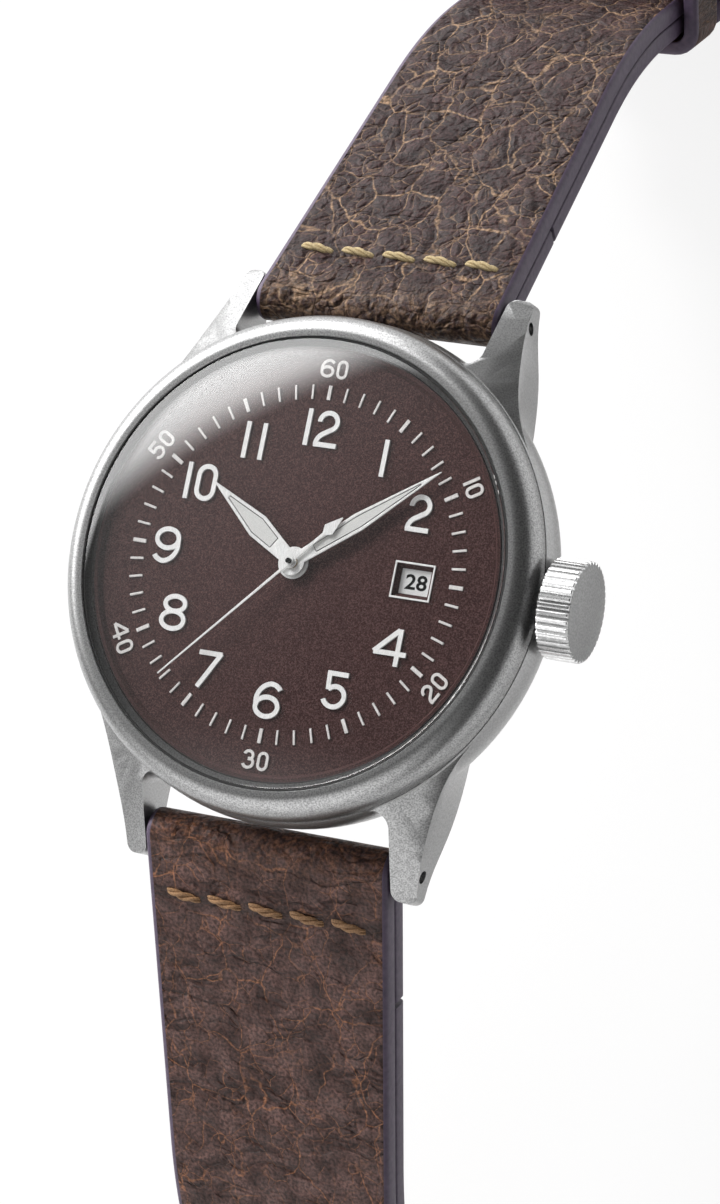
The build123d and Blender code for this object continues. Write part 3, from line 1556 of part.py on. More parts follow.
def taper_planes(side_view, line, end_width):
    """Planes of both edges of a half whose width narrows evenly along its chord."""
    start, end = line[0][0], line[-1][0]
    reach = math.hypot(end[0] - start[0], end[1] - start[1])
    forward = ((end[0] - start[0]) / reach, (end[1] - start[1]) / reach)
    narrowing = (strap_root_width - end_width) / 2 / reach
    across = side_view.z_dir
    along = side_view.x_dir * forward[0] + side_view.y_dir * forward[1]
    origin = side_view.x_dir * start[0] + side_view.y_dir * start[1]
    planes = []
    for edge in (-1, 1):
        outward = across * edge + along * narrowing
        planes.append(Plane(origin=origin + across * (edge * strap_root_width / 2), z_dir=outward))
    return planes


def strap_width_at(line, end_width, point):
    """Width of a half beside a point of its side view."""
    start, end = line[0][0], line[-1][0]
    reach = math.hypot(end[0] - start[0], end[1] - start[1])
    share = (
        (point[0] - start[0]) * (end[0] - start[0]) + (point[1] - start[1]) * (end[1] - start[1])
    ) / reach ** 2
    return strap_root_width - (strap_root_width - end_width) * share


def flap(station, length):
    """A straight stretch from a station."""
    return follow(station[0], station[1], [(length, 0)])


def lining_runs(runs, start_cut, end_cut):
    """The runs between two folded flaps."""
    cut = list(runs)
    cut[0] = (runs[0][0] - start_cut, 0)
    cut[-1] = (runs[-1][0] - end_cut, 0)
    return cut


upper_planes = taper_planes(upper_side, upper_line, strap_buckle_width)
lower_planes = taper_planes(lower_side, lower_line, strap_tail_width)
buckle_point = upper_line[-1][0]
tail_end = lower_line[-1][0]

with BuildPart() as upper_leather:
    with BuildSketch(upper_side):
        draw_band(upper_line, half_thickness, 0)
        draw_band(flap(upper_line[0], fold_flap), half_thickness, -half_thickness)
        draw_band(
            flap((shifted(buckle_point, (-buckle_flap, 0)), 0), buckle_flap), half_thickness, -half_thickness
        )
        with Locations(bar_point, buckle_point):
            Circle(half_thickness)
        with Locations(bar_point):
            Circle(bar_radius + strap_bar_clearance, mode=Mode.SUBTRACT)
        with Locations(buckle_point):
            Circle(buckle_bar_radius + strap_bar_clearance, mode=Mode.SUBTRACT)
    extrude(amount=strap_root_width / 2, both=True)
    for edge_plane in upper_planes:
        split(bisect_by=edge_plane, keep=Keep.BOTTOM)
    with BuildSketch(Plane.XY.offset(floor_level - overrun)):
        with Locations((0, buckle_point[0])):
            Rectangle(tongue_width + tongue_slot_gap * 2, tongue_slot_depth * 2)
    extrude(amount=strap_thickness + overrun * 2, mode=Mode.SUBTRACT)
finish(upper_leather.part, "upper_leather")

with BuildPart() as upper_lining:
    upper_lining_start = flap(upper_line[0], fold_flap)[-1]
    with BuildSketch(upper_side):
        draw_band(
            follow(upper_lining_start[0], -upper_slope, lining_runs(upper_runs, fold_flap, buckle_flap)),
            0,
            -half_thickness,
        )
    extrude(amount=strap_root_width / 2, both=True)
    for edge_plane in upper_planes:
        split(bisect_by=edge_plane, keep=Keep.BOTTOM)
finish(upper_lining.part, "upper_lining")

# The lower half ends in a blunt point and has a row of holes for the tongue

tail_length = tail_end[0]
with BuildPart() as tail_cutter:
    with BuildSketch(Plane.XY.offset(floor_level - overrun)):
        for side in (-1, 1):
            Polygon(
                (side * tail_point_half_width, -tail_length),
                (side * strap_root_width, -tail_length),
                (side * strap_root_width, tail_point_length - tail_length),
                (side * strap_tail_width / 2, tail_point_length - tail_length),
            )
        hole_start = tail_point_length + tail_hole_start - tail_length
        for hole in range(tail_holes):
            with Locations((0, hole_start + hole * tail_hole_pitch)):
                Circle(tail_hole_radius)
    extrude(amount=strap_thickness + overrun * 2)

with BuildPart() as lower_leather:
    with BuildSketch(lower_side):
        draw_band(lower_line, half_thickness, 0)
        draw_band(flap(lower_line[0], fold_flap), half_thickness, -half_thickness)
        with Locations(bar_point):
            Circle(half_thickness)
            Circle(bar_radius + strap_bar_clearance, mode=Mode.SUBTRACT)
    extrude(amount=strap_root_width / 2, both=True)
    for edge_plane in lower_planes:
        split(bisect_by=edge_plane, keep=Keep.BOTTOM)
    add(tail_cutter.part, mode=Mode.SUBTRACT)
finish(lower_leather.part, "lower_leather")

with BuildPart() as lower_lining:
    lower_lining_start = flap(lower_line[0], fold_flap)[-1]
    with BuildSketch(lower_side):
        draw_band(
            follow(lower_lining_start[0], -lower_slope, lining_runs(lower_runs, fold_flap, 0)),
            0,
            -half_thickness,
        )
    extrude(amount=strap_root_width / 2, both=True)
    for edge_plane in lower_planes:
        split(bisect_by=edge_plane, keep=Keep.BOTTOM)
    add(tail_cutter.part, mode=Mode.SUBTRACT)
finish(lower_lining.part, "lower_lining")

# A row of thick stitches across each half holds its fold round the spring bar

for stitch_name, side_view, slope in (
    ("upper_stitches", upper_side, upper_slope),
    ("lower_stitches", lower_side, lower_slope),
):
    row_point = shifted(bar_point, at_heading(stitch_reach, -slope))
    face_point = shifted(row_point, at_heading(half_thickness, 90 - slope))
    outward = at_heading(1, 90 - slope)
    stitch_plane = Plane(
        origin=side_view.x_dir * face_point[0] + side_view.y_dir * face_point[1],
        x_dir=(1, 0, 0),
        z_dir=side_view.x_dir * outward[0] + side_view.y_dir * outward[1],
    )
    with BuildPart() as stitches:
        with BuildSketch(stitch_plane):
            with GridLocations(stitch_pitch, 0, stitch_count, 1):
                SlotOverall(stitch_length, stitch_width)
        extrude(amount=stitch_height)
    finish(stitches.part, stitch_name)

# Keepers: leather loops round the upper half, one stitched in place and one free

steep_start = upper_line[2][0]


def keeper_station(reach):
    """Middle of a keeper at a reach down the steep run."""
    return shifted(steep_start, at_heading(reach, -steep_slope))


fixed_reach = upper_steep_run - keeper_width / 2
free_reach = fixed_reach - keeper_width - keeper_spacing
for keeper_name, reach, under_gap in (
    ("fixed_keeper", fixed_reach, running_clearance),
    ("free_keeper", free_reach, keeper_side_gap),
):
    station = keeper_station(reach)
    keeper_plane = Plane(
        origin=(0, station[0], station[1]),
        x_dir=(1, 0, 0),
        z_dir=(0, -math.cos(math.radians(steep_slope)), math.sin(math.radians(steep_slope))),
    )
    inner_width = (
        strap_width_at(upper_line, strap_buckle_width, keeper_station(reach - keeper_width / 2))
        + keeper_side_gap * 2
    )
    inner_bottom = -half_thickness - under_gap
    inner_top = half_thickness + keeper_tail_room
    middle_height = (inner_bottom + inner_top) / 2
    inner_height = inner_top - inner_bottom
    with BuildPart() as keeper:
        with BuildSketch(keeper_plane):
            with Locations((0, middle_height)):
                RectangleRounded(
                    inner_width + keeper_wall * 2, inner_height + keeper_wall * 2, keeper_outer_corner
                )
                RectangleRounded(inner_width, inner_height, keeper_inner_corner, mode=Mode.SUBTRACT)
        extrude(amount=keeper_width / 2, both=True)
    finish(keeper.part, keeper_name)

# Buckle: a rounded frame on a bar through the strap's end, with a tongue on the bar

buckle_inner_width = strap_buckle_width + buckle_side_gap * 2
buckle_outer_width = buckle_inner_width + buckle_wire * 2
buckle_back = -half_thickness - buckle_side_gap
buckle_front = buckle_reach
buckle_plane = Plane(origin=(0, buckle_point[0], floor_level))
bar_rise = buckle_point[1] - floor_level
bar_line = Plane(origin=(0, buckle_point[0], buckle_point[1]), z_dir=(1, 0, 0), x_dir=(0, 1, 0))

with BuildPart() as buckle_frame:
    with BuildSketch(buckle_plane):
        with Locations((0, (buckle_front - buckle_arm_back) / 2)):
            RectangleRounded(buckle_outer_width, buckle_front + buckle_arm_back, buckle_corner)
        with Locations((0, (buckle_front - buckle_wire - buckle_arm_back - overrun) / 2)):
            Rectangle(
                buckle_inner_width,
                buckle_front - buckle_wire + buckle_arm_back + overrun,
                mode=Mode.SUBTRACT,
            )
    extrude(amount=buckle_height)
    long_edges = buckle_frame.edges().filter_by(Axis.Y)
    fillet(long_edges, radius=buckle_edge_round)
    with BuildSketch(bar_line):
        Circle(buckle_bar_radius + running_clearance)
    extrude(amount=buckle_outer_width / 2, both=True, mode=Mode.SUBTRACT)
finish(buckle_frame.part, "buckle_frame")

with BuildPart() as buckle_bar:
    with BuildSketch(bar_line):
        Circle(buckle_bar_radius)
    extrude(amount=buckle_outer_width / 2 - running_clearance, both=True)
finish(buckle_bar.part, "buckle_bar")

tongue_rest = buckle_height + running_clearance
tongue_ring = buckle_bar_radius + running_clearance + tongue_thickness
with BuildPart() as buckle_tongue:
    with BuildSketch(Plane.YZ):
        ring_top = shifted(buckle_point, (0, tongue_ring))
        rest_low = floor_level + tongue_rest
        tip = buckle_point[0] + buckle_front + tongue_overhang
        Polygon(
            (buckle_point[0], ring_top[1]),
            (buckle_point[0], ring_top[1] - tongue_thickness),
            (buckle_point[0] + buckle_front - buckle_wire * 2, rest_low),
            (tip, rest_low),
            (tip, rest_low + tongue_thickness / 2),
            (buckle_point[0] + buckle_front - buckle_wire * 2, rest_low + tongue_thickness),
        )
        with Locations(buckle_point):
            Circle(tongue_ring)
            Circle(buckle_bar_radius + running_clearance, mode=Mode.SUBTRACT)
    extrude(amount=tongue_width / 2, both=True)
finish(buckle_tongue.part, "buckle_tongue")
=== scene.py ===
# %% [markdown]
# # A field watch, dressed
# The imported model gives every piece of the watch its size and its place. This file gives the pieces
# their looks: steel blasted with glass beads, a matt brown dial under a domed glass, raised figures,
# and a strap of waxed leather that has cracked with wear.
# Blender works in metres, but a watch is thought of in millimetres. The values below are millimetres,
# and one name, MM, turns them into metres where a mesh or a lamp is made.

# %% Load the frame
import json
import math

import bmesh
import bpy
import numpy as np
from mathutils import Matrix, Vector


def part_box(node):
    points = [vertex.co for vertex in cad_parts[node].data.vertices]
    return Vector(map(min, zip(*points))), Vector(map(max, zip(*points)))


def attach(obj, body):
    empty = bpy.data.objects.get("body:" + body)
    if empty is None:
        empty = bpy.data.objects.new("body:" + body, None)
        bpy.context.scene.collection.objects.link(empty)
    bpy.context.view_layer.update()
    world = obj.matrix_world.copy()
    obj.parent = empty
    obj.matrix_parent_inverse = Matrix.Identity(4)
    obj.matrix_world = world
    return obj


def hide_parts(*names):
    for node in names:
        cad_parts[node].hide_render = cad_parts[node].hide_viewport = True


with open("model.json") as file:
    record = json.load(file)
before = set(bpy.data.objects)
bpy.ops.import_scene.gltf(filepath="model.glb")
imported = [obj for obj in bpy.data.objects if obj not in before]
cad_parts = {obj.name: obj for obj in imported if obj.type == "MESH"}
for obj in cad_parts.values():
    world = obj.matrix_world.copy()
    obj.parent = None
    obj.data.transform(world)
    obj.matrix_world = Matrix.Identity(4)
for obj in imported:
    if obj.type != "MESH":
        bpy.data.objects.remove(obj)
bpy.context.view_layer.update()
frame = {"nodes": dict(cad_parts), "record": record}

MM = 0.001
nodes = frame["nodes"]
body_of = {
    node: body for body, members in frame["record"]["behaviour"]["bodies"].items() for node in members
}
print("pieces in the frame:", len(nodes))


def span(node):
    """Lowest and highest corner of a CAD node, in millimetres."""
    low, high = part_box(node)
    return np.array(low) / MM, np.array(high) / MM


# %% [markdown]
# ## The camera
# The photograph looks down on the dial from the crown's side through a long lens. The camera's place
# and aim were worked out from the dial's minute ring and the lugs, so a point of the watch falls on
# the pixel where the photograph has it. A camera could also be placed by eye, but then every edge
# would be a little off, and no comparison with the photograph could be trusted.

# %% Camera
camera_place = Vector((117.346, -30.114, 258.815))
camera_aim = Vector((5.700, -2.070, 8.400))
camera_up = Vector((-0.1395, 0.9753, 0.1714))
camera_lens = 112.63
sensor_width = 36.0
nearest_seen = 10.0

backwards = (camera_place - camera_aim).normalized()
sideways = camera_up.cross(backwards).normalized()
upwards = backwards.cross(sideways)
camera = bpy.data.objects.new("camera", bpy.data.cameras.new("camera"))
turn = Matrix((sideways, upwards, backwards)).transposed().to_4x4()
camera.matrix_world = Matrix.Translation(camera_place * MM) @ turn
camera.data.lens = camera_lens
camera.data.sensor_width = sensor_width
camera.data.clip_start = nearest_seen * MM
bpy.context.collection.objects.link(camera)
bpy.context.scene.camera = camera
bpy.context.scene.view_settings.view_transform = "Standard"
print("camera to dial, mm:", round((camera_place - camera_aim).length, 1))

# %% [markdown]
# ## Colours and nodes
# Colours are given as sRGB hex values, but a shader adds up light in linear values, so one
# function decodes them. A second one adds a shader node with its settings and its links, which keeps
# each material short enough to read as a recipe. Where several patterns make one height or one level,
# a short function adds them up, each by its weight.

# %% Colours
def colour(code):
    """Linear colour of an sRGB hex code, decoded channel by channel with the sRGB curve."""
    part = np.array([int(code[start:start + 2], 16) for start in (1, 3, 5)]) / 255
    linear = np.where(part <= 0.04045, part / 12.92, ((part + 0.055) / 1.055) ** 2.4)
    return (*linear.tolist(), 1.0)


# %% Nodes
def add_node(tree, kind, inputs=None, out=0, stops=None, **settings):
    """Adds a shader node and returns one of its outputs. inputs holds values or other nodes' outputs
    by socket, settings are the node's own properties, and stops are a ramp's places and colours."""
    made = tree.nodes.new("ShaderNode" + kind)
    for name, value in settings.items():
        setattr(made, name, value)
    for name, value in (inputs or {}).items():
        if isinstance(value, bpy.types.NodeSocket):
            tree.links.new(value, made.inputs[name])
        else:
            made.inputs[name].default_value = value
    for index, (place, code) in enumerate(stops or []):
        bands = made.color_ramp.elements
        band = bands[index] if index < len(bands) else bands.new(place)
        band.position = place
        band.color = colour(code)
    return made.outputs[out] if made.outputs else made


def start_material(name, **sockets):
    """A material with one Principled shader. Returns the material, its tree and the shader."""
    material = bpy.data.materials.new(name)
    material.use_nodes = True
    tree = material.node_tree
    tree.nodes.clear()
    constants = {socket.replace("_", " "): value for socket, value in sockets.items()}
    surface = add_node(tree, "BsdfPrincipled", constants)
    add_node(tree, "OutputMaterial", {"Surface": surface})
    return material, tree, surface.node


def drive(tree, shader, **links):
    """Links node outputs to a shader's sockets."""
    for socket, output in links.items():
        tree.links.new(output, shader.inputs[socket.replace("_", " ")])


# %% Sums of patterns
def weighted(tree, total, *parts):
    """A total plus each pattern times its weight."""
    for weight, pattern in parts:
        total = add_node(tree, "Math", {0: pattern, 1: weight, 2: total}, operation="MULTIPLY_ADD")
    return total


# %% [markdown]
# ## Meshes from formulas
# A watch is mostly turned parts, and a turned part is one profile carried round an axis. A strap is a
# cross-section carried along a line. Both are grids of points, so one helper turns a grid into a
# mesh: each face joins four neighbours, doubles are merged so that seams and poles close, and the
# normals are worked out again so that faces point outwards. Milled and stamped pieces keep the model's
# own mesh, with its sharp edges rounded.

# %% Points and meshes
weld_distance = 0.0008


def unit(angle):
    """Unit steps at angles: their cosine and sine."""
    return np.stack([np.cos(angle), np.sin(angle)], axis=-1)


def places_of(mesh):
    """A mesh's points, as they stand in the mesh."""
    places = np.zeros(len(mesh.vertices) * 3)
    mesh.vertices.foreach_get("co", places)
    return places.reshape(-1, 3)


def new_mesh(name, points, faces):
    """A mesh of points in mm."""
    mesh = bpy.data.meshes.new(name)
    mesh.from_pydata((np.reshape(points, (-1, 3)) * MM).tolist(), [], faces)
    return mesh


def smoothed(mesh, sharp):
    """Smooths every edge flatter than sharp degrees."""
    mesh.polygons.foreach_set("use_smooth", np.ones(len(mesh.polygons), bool))
    mesh.set_sharp_from_angle(angle=math.radians(sharp))
    return mesh


def tidy_mesh(mesh, sharp):
    """Merges doubles, turns faces outwards and smooths every edge flatter than sharp degrees."""
    shape = bmesh.new()
    shape.from_mesh(mesh)
    bmesh.ops.remove_doubles(shape, verts=shape.verts, dist=weld_distance * MM)
    bmesh.ops.recalc_face_normals(shape, faces=shape.faces)
    shape.to_mesh(mesh)
    shape.free()
    return smoothed(mesh, sharp)


# %% Grids and turned shapes
def grid_mesh(name, points, sharp, closed=False, flat=None, kinds=None):
    """Mesh of a grid of points in mm, rows by columns by 3. The last column joins the first and, if
    closed, the last row too. flat holds each point's UV place in mm, and kinds each face's material
    number."""
    rows, columns = points.shape[:2]
    index = np.arange(rows * columns).reshape(rows, columns)
    index = np.hstack([index, index[:, :1]])
    if closed:
        index = np.vstack([index, index[:1]])
    quads = np.stack([index[:-1, :-1], index[:-1, 1:], index[1:, 1:], index[1:, :-1]], axis=-1)
    quads = quads.reshape(-1, 4)
    mesh = new_mesh(name, points, quads.tolist())
    if flat is not None:
        layer = mesh.uv_layers.new(name="millimetres")
        layer.data.foreach_set("uv", flat.reshape(-1, 2)[quads.ravel()].ravel().astype(np.float32))
    if kinds is not None:
        mesh.polygons.foreach_set("material_index", np.asarray(kinds, np.int32).ravel())
    return tidy_mesh(mesh, sharp)


def turned(name, profile, steps=240, closed=True, sharp=30.0):
    """A profile of (radius, height) points turned about Z: x is radius cos a, y is radius sin a."""
    radius, height = np.asarray(profile, float).T[..., None]
    angle = np.linspace(0, 2 * np.pi, steps, endpoint=False)
    ring = np.broadcast_arrays(radius * np.cos(angle), radius * np.sin(angle), height)
    return grid_mesh(name, np.stack(ring, axis=-1), sharp, closed)


# %% Pieces on their bodies
def show(mesh, materials, node, instead=True):
    """Shows a mesh as a piece on a CAD node's body, instead of the node or with it."""
    print("made", mesh.name, "with", len(mesh.polygons), "faces")
    piece = bpy.data.objects.new(mesh.name, mesh)
    bpy.context.collection.objects.link(piece)
    for material in materials:
        mesh.materials.append(material)
    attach(piece, body_of[node])
    if instead:
        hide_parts(node)
    return piece


# %% Rounded copies and finer materials
copy_weld_distance = 0.0005
upright_below = 0.35
flat_angle = 0.3


def dress(node, material, rounding, sharp=30.0, segments=2, sides=None, edges=None):
    """A copy of a CAD node with its triangles merged and its sharp edges rounded by rounding mm.
    sides is a material of its own for upright faces, whose normal's Z is small, and edges one for
    the rounded edges."""
    mesh = nodes[node].data.copy()
    mesh.name = node + "_dressed"
    mesh.materials.clear()
    shape = bmesh.new()
    shape.from_mesh(mesh)
    bmesh.ops.remove_doubles(shape, verts=shape.verts, dist=copy_weld_distance * MM)
    bmesh.ops.dissolve_limit(
        shape, angle_limit=math.radians(flat_angle), verts=shape.verts, edges=shape.edges
    )
    shape.to_mesh(mesh)
    shape.free()
    tidy_mesh(mesh, sharp)
    if sides:
        upright = np.zeros(len(mesh.polygons) * 3, np.float32)
        mesh.polygons.foreach_get("normal", upright)
        steep = np.abs(upright.reshape(-1, 3)[:, 2]) < upright_below
        mesh.polygons.foreach_set("material_index", steep.astype(np.int32))
    finishes = [finish for finish in (material, sides or edges) if finish]
    piece = show(mesh, finishes, node)
    edge = piece.modifiers.new("rounded edges", "BEVEL")
    edge.material = 1 if edges else -1
    edge.width = rounding * MM
    edge.segments = segments
    edge.limit_method = "ANGLE"
    edge.angle_limit = math.radians(sharp)
    edge.harden_normals = True
    return piece


def coat(material, *names):
    """Gives CAD nodes that keep their own shape a finer material."""
    print(material.name, "on", *names)
    for name in names:
        for place in nodes[name].material_slots:
            place.material = material


# %% [markdown]
# ## Blasted steel
# Bezel, lugs and crown are stainless steel that was blasted with fine glass beads. Each bead leaves a
# dimple, so the metal is rough and speckled, and shows broad soft light instead of a mirror image.
# Plain rough metal would look like plastic paint. The speckle is one noise the size of a dimple, which
# drives the colour, the roughness and a shallow bump. A real dimple is about 0.1 mm wide, and it is
# drawn a little coarser here so that it shows. Flanks and crown are satin: the same noise, far weaker.

# %% Blasted steel
def blasted_steel(name, light, dark, dimple=0.15, relief=0.006, roughness=0.34):
    """Stainless steel blasted with beads. dimple is a dimple's width and relief its depth in mm. The
    roughness varies by 0.05 either way."""
    material, tree, shader = start_material(name, Metallic=1.0)
    place = add_node(tree, "TexCoord", out="Object")
    speck = add_node(tree, "TexNoise", {"Vector": place, "Scale": 1 / (dimple * MM), "Detail": 1.0})
    tint = add_node(tree, "ValToRGB", {"Fac": speck}, stops=[(0.34, dark), (0.66, light)])
    rough = add_node(tree, "MapRange", {
        "Value": speck, "From Min": 0.3, "From Max": 0.7,
        "To Min": roughness + 0.05, "To Max": roughness - 0.05,
    })
    bump = add_node(tree, "Bump", {"Height": speck, "Distance": relief * MM})
    drive(tree, shader, Base_Color=tint, Roughness=rough, Normal=bump)
    return material


bezel_steel = blasted_steel("blasted_steel_bezel", "#b6b6b6", "#8a8a8a", dimple=0.12)
case_steel = blasted_steel("blasted_steel_case", "#aeaeae", "#868686", dimple=0.12)
flank_steel = blasted_steel("satin_steel_flank", "#b0b0b0", "#a0a0a0", relief=0.001)
crown_steel = blasted_steel("satin_steel_crown", "#dadada", "#c6c6c6", relief=0.002, roughness=0.3)
# The crown's end face is painted darker than its ridges: painted shade for the shadowed floor it
# mirrors.
crown_end_shaded_steel = blasted_steel("satin_steel_crown_end_painted_shade", "#969696", "#868686", relief=0.002)
buckle_steel = blasted_steel("blasted_steel_buckle", "#bababa", "#969696", dimple=0.13)
back_steel = blasted_steel("satin_steel_back", "#c0c0c0", "#a4a4a4", relief=0.003, roughness=0.38)
print("materials so far:", len(bpy.data.materials))

# %% [markdown]
# ## The bezel
# The bezel is a turned ring: a short upright wall, a full round shoulder and a narrow rim round the
# glass. The shoulder is a quarter of an ellipse. Turned from a formula it keeps its highlight
# unbroken, where the model's flat facets would break it up.

# %% Bezel
bezel_low, bezel_high = span("bezel")
bezel_radius, case_top, bezel_top = bezel_high[0], bezel_low[2], bezel_high[2]
glass_low, glass_high = span("crystal")
glass_radius, glass_foot, glass_apex = glass_high[0], glass_low[2], glass_high[2]
gasket_wall = 0.19
ledge_width = 0.75
rim_width = 0.35
wall_height = 0.62
wall_break = 0.07
bezel_bore = glass_radius + gasket_wall
ledge_radius = bezel_bore - ledge_width
wall_top = case_top + wall_height

quarter = np.linspace(0, np.pi / 2, 28)
shoulder = np.stack([
    bezel_bore + rim_width + (bezel_radius - bezel_bore - rim_width) * np.cos(quarter),
    wall_top + (bezel_top - wall_top) * np.sin(quarter),
], axis=1)
bezel_profile = np.vstack([
    [(ledge_radius, case_top), (bezel_radius - wall_break, case_top)],
    [(bezel_radius, case_top + wall_break)],
    shoulder,
    [(bezel_bore + wall_break, bezel_top), (bezel_bore, bezel_top - wall_break)],
    [(bezel_bore, glass_foot), (ledge_radius, glass_foot)],
])
show(turned("bezel_ring", bezel_profile, 360), [bezel_steel], "bezel")
print("bezel across, mm:", round(float(bezel_radius) * 2, 2))

# %% [markdown]
# ## The middle case and its lugs
# The lugs run into the barrel of the case along crisp edges. A lug is no turned shape, so a formula
# for it would be long, and its shape is right in the model. So a copy of the model's mesh is merged,
# and each sharp edge is broken by a very small bevel. A real case is never razor sharp, and the bevel
# catches the thin line of light along each crest.

# %% Middle case and back
dress("middle_case", case_steel, rounding=0.12, sharp=24.0, sides=flank_steel)
dress("caseback", back_steel, rounding=0.1)

# %% [markdown]
# ## The glass
# The crystal is domed sapphire with a polished bevel round its edge. Light has to reach the dial
# through it. True glass alone would leave the dial dark and speckled, since a traced ray seldom finds
# a lamp through two curved faces. So the shader lets shadow rays and diffuse rays pass, while the
# camera sees true glass with its mirror reflections. Both faces of the dome are arcs square to the
# axis, which makes the glass an even shell that hardly bends what is seen through it.

# %% Crystal
def clear_glass(name, tint, ior):
    """Clear glass that lets light through, so that it casts no black shadow."""
    material, tree, shader = start_material(
        name, Base_Color=colour(tint), Roughness=0.0, IOR=ior, Transmission_Weight=1.0
    )
    path = add_node(tree, "LightPath").node
    lighting = add_node(tree, "Math", {
        0: path.outputs["Is Shadow Ray"], 1: path.outputs["Is Diffuse Ray"],
    }, operation="MAXIMUM")
    passing = add_node(tree, "BsdfTransparent", {"Color": colour(tint)})
    mixed = add_node(tree, "MixShader", {0: lighting, 1: shader.outputs["BSDF"], 2: passing})
    output = next(node for node in tree.nodes if node.type == "OUTPUT_MATERIAL")
    tree.links.new(mixed, output.inputs["Surface"])
    return material


def dome(radius, rim_height, apex, count=60):
    """Arc from the axis to a rim, square to the axis: height is the apex less the sphere's sag."""
    sag = apex - rim_height
    sphere = (radius ** 2 + sag ** 2) / (2 * sag)
    reach = np.linspace(0, radius, count)
    return np.stack([reach, apex - sphere + np.sqrt(sphere ** 2 - reach ** 2)], axis=1)


glass_edge = 1.12
glass_bevel = 0.4
glass_bevel_height = 0.13
glass_wall = 0.6
glass_thickness = 1.15
corner_inset, corner_height = 0.05, 0.04
inner_sag = 1.45
edge_top = glass_foot + glass_edge
inner_apex = glass_apex - glass_thickness
crystal_glass = clear_glass("sapphire_glass", "#fdfdfd", 1.77)
glass_profile = np.vstack([
    dome(glass_radius - glass_bevel, edge_top + glass_bevel_height, glass_apex),
    [(glass_radius - corner_inset, edge_top + corner_height), (glass_radius, edge_top - corner_height)],
    [(glass_radius, glass_foot), (glass_radius - glass_wall, glass_foot)],
    dome(glass_radius - glass_wall, inner_apex - inner_sag, inner_apex)[::-1],
])
show(turned("crystal_dome", glass_profile, closed=False, sharp=20.0), [crystal_glass], "crystal")

# %% [markdown]
# ## The dial
# The dial is a thin brass plate under a matt brown lacquer with fine metal flake. Seen close, it has
# a grain of lighter and darker points. An image could hold the grain, but it would blur when the
# camera comes near. So one noise the size of a flake gives it. A slow darkening from the centre to
# the rim keeps the plate from looking like card; it is painted shade, where the rim shades the dial.

# %% Dial
flake_width, flake_relief = 0.1, 0.012
rim_shade_from, rim_shade_to = 4.0, 18.0


def flaked_lacquer(name, middle, edge, flake):
    """Matt lacquer with metal flake over brass. The flakes are drawn coarse to show, and the colour
    goes from middle to edge between two distances from the centre: a painted shade towards the rim."""
    material, tree, shader = start_material(name, Roughness=0.6, Specular_IOR_Level=0.08)
    place = add_node(tree, "TexCoord", out="Object")
    away = add_node(tree, "VectorMath", {0: place}, out="Value", operation="LENGTH")
    share = add_node(tree, "MapRange", {
        "Value": away, "From Min": rim_shade_from * MM, "From Max": rim_shade_to * MM,
    })
    rim_shaded_tone = add_node(tree, "ValToRGB", {"Fac": share}, stops=[(0.0, middle), (1.0, edge)])
    speck = add_node(tree, "TexNoise", {
        "Vector": place, "Scale": 1 / (flake_width * MM), "Detail": 2.0,
    })
    sparkle = add_node(tree, "MapRange", {
        "Value": speck, "From Min": 0.44, "From Max": 0.66, "To Max": 0.9,
    })
    tint = add_node(tree, "Mix", {0: sparkle, 6: rim_shaded_tone, 7: colour(flake)}, out=2, data_type="RGBA")
    bump = add_node(tree, "Bump", {"Height": speck, "Distance": flake_relief * MM})
    drive(tree, shader, Base_Color=tint, Normal=bump)
    return material


# The edge colour, darker than the middle, is painted shade towards the rim.
dial_lacquer = flaked_lacquer("brown_flake_lacquer_rim_shade", "#2f1817", "#281413", "#563d3b")
coat(dial_lacquer, "dial", "flange_ring")

# %% [markdown]
# ## Figures, ticks and the date frame
# The hour figures are pressed metal in a silver-grey finish, and the minute figures and ticks are
# thinner. A pattern in the dial's material could draw them, but it would lie flat in every light.
# Rounded upper edges give each stroke a light side and a dark side, which is what makes them read as
# raised in the photograph. The hands are stamped from the same metal. The paste in the middle of the
# hour and minute hands is luminous: matt, pale and faintly grainy. The thin dark line round it is the
# shaded edge of its pocket, which is painted on the paste's own rounded edge.

# %% Figures and hands
brushed_relief = 0.004


def satin_metal(name, light, dark, roughness, brushing=0.07, metallic=0.85, dark_above=None):
    """Satin plated metal. brushing is the width of its fine lines in mm, and dark_above the height
    above which a pin's end is blackened."""
    material, tree, shader = start_material(name, Metallic=metallic, Roughness=roughness)
    place = add_node(tree, "TexCoord", out="Object")
    drawn = add_node(tree, "Mapping", {"Vector": place, "Scale": (1.0, 0.15, 1.0)})
    line = add_node(tree, "TexNoise", {"Vector": drawn, "Scale": 1 / (brushing * MM), "Detail": 2.0})
    tint = add_node(tree, "ValToRGB", {"Fac": line}, stops=[(0.3, dark), (0.7, light)])
    if dark_above:
        height = add_node(tree, "SeparateXYZ", {"Vector": place}, out="Z")
        end = add_node(tree, "Math", {0: height, 1: dark_above * MM}, operation="GREATER_THAN")
        tint = add_node(tree, "Mix", {0: end, 6: tint, 7: colour("#141414")}, out=2, data_type="RGBA")
    bump = add_node(tree, "Bump", {"Height": line, "Distance": brushed_relief * MM})
    drive(tree, shader, Base_Color=tint, Normal=bump)
    return material


def grained_matt(name, light, dark, grain=0.06, relief=0.008, roughness=0.8, gloss=0.5):
    """A matt coat or plastic with fine grain. grain is a grain's width and relief its height in mm."""
    material, tree, shader = start_material(name, Roughness=roughness, Specular_IOR_Level=gloss)
    place = add_node(tree, "TexCoord", out="Object")
    speck = add_node(tree, "TexNoise", {"Vector": place, "Scale": 1 / (grain * MM), "Detail": 3.0})
    tint = add_node(tree, "ValToRGB", {"Fac": speck}, stops=[(0.3, dark), (0.7, light)])
    bump = add_node(tree, "Bump", {"Height": speck, "Distance": relief * MM})
    drive(tree, shader, Base_Color=tint, Normal=bump)
    return material


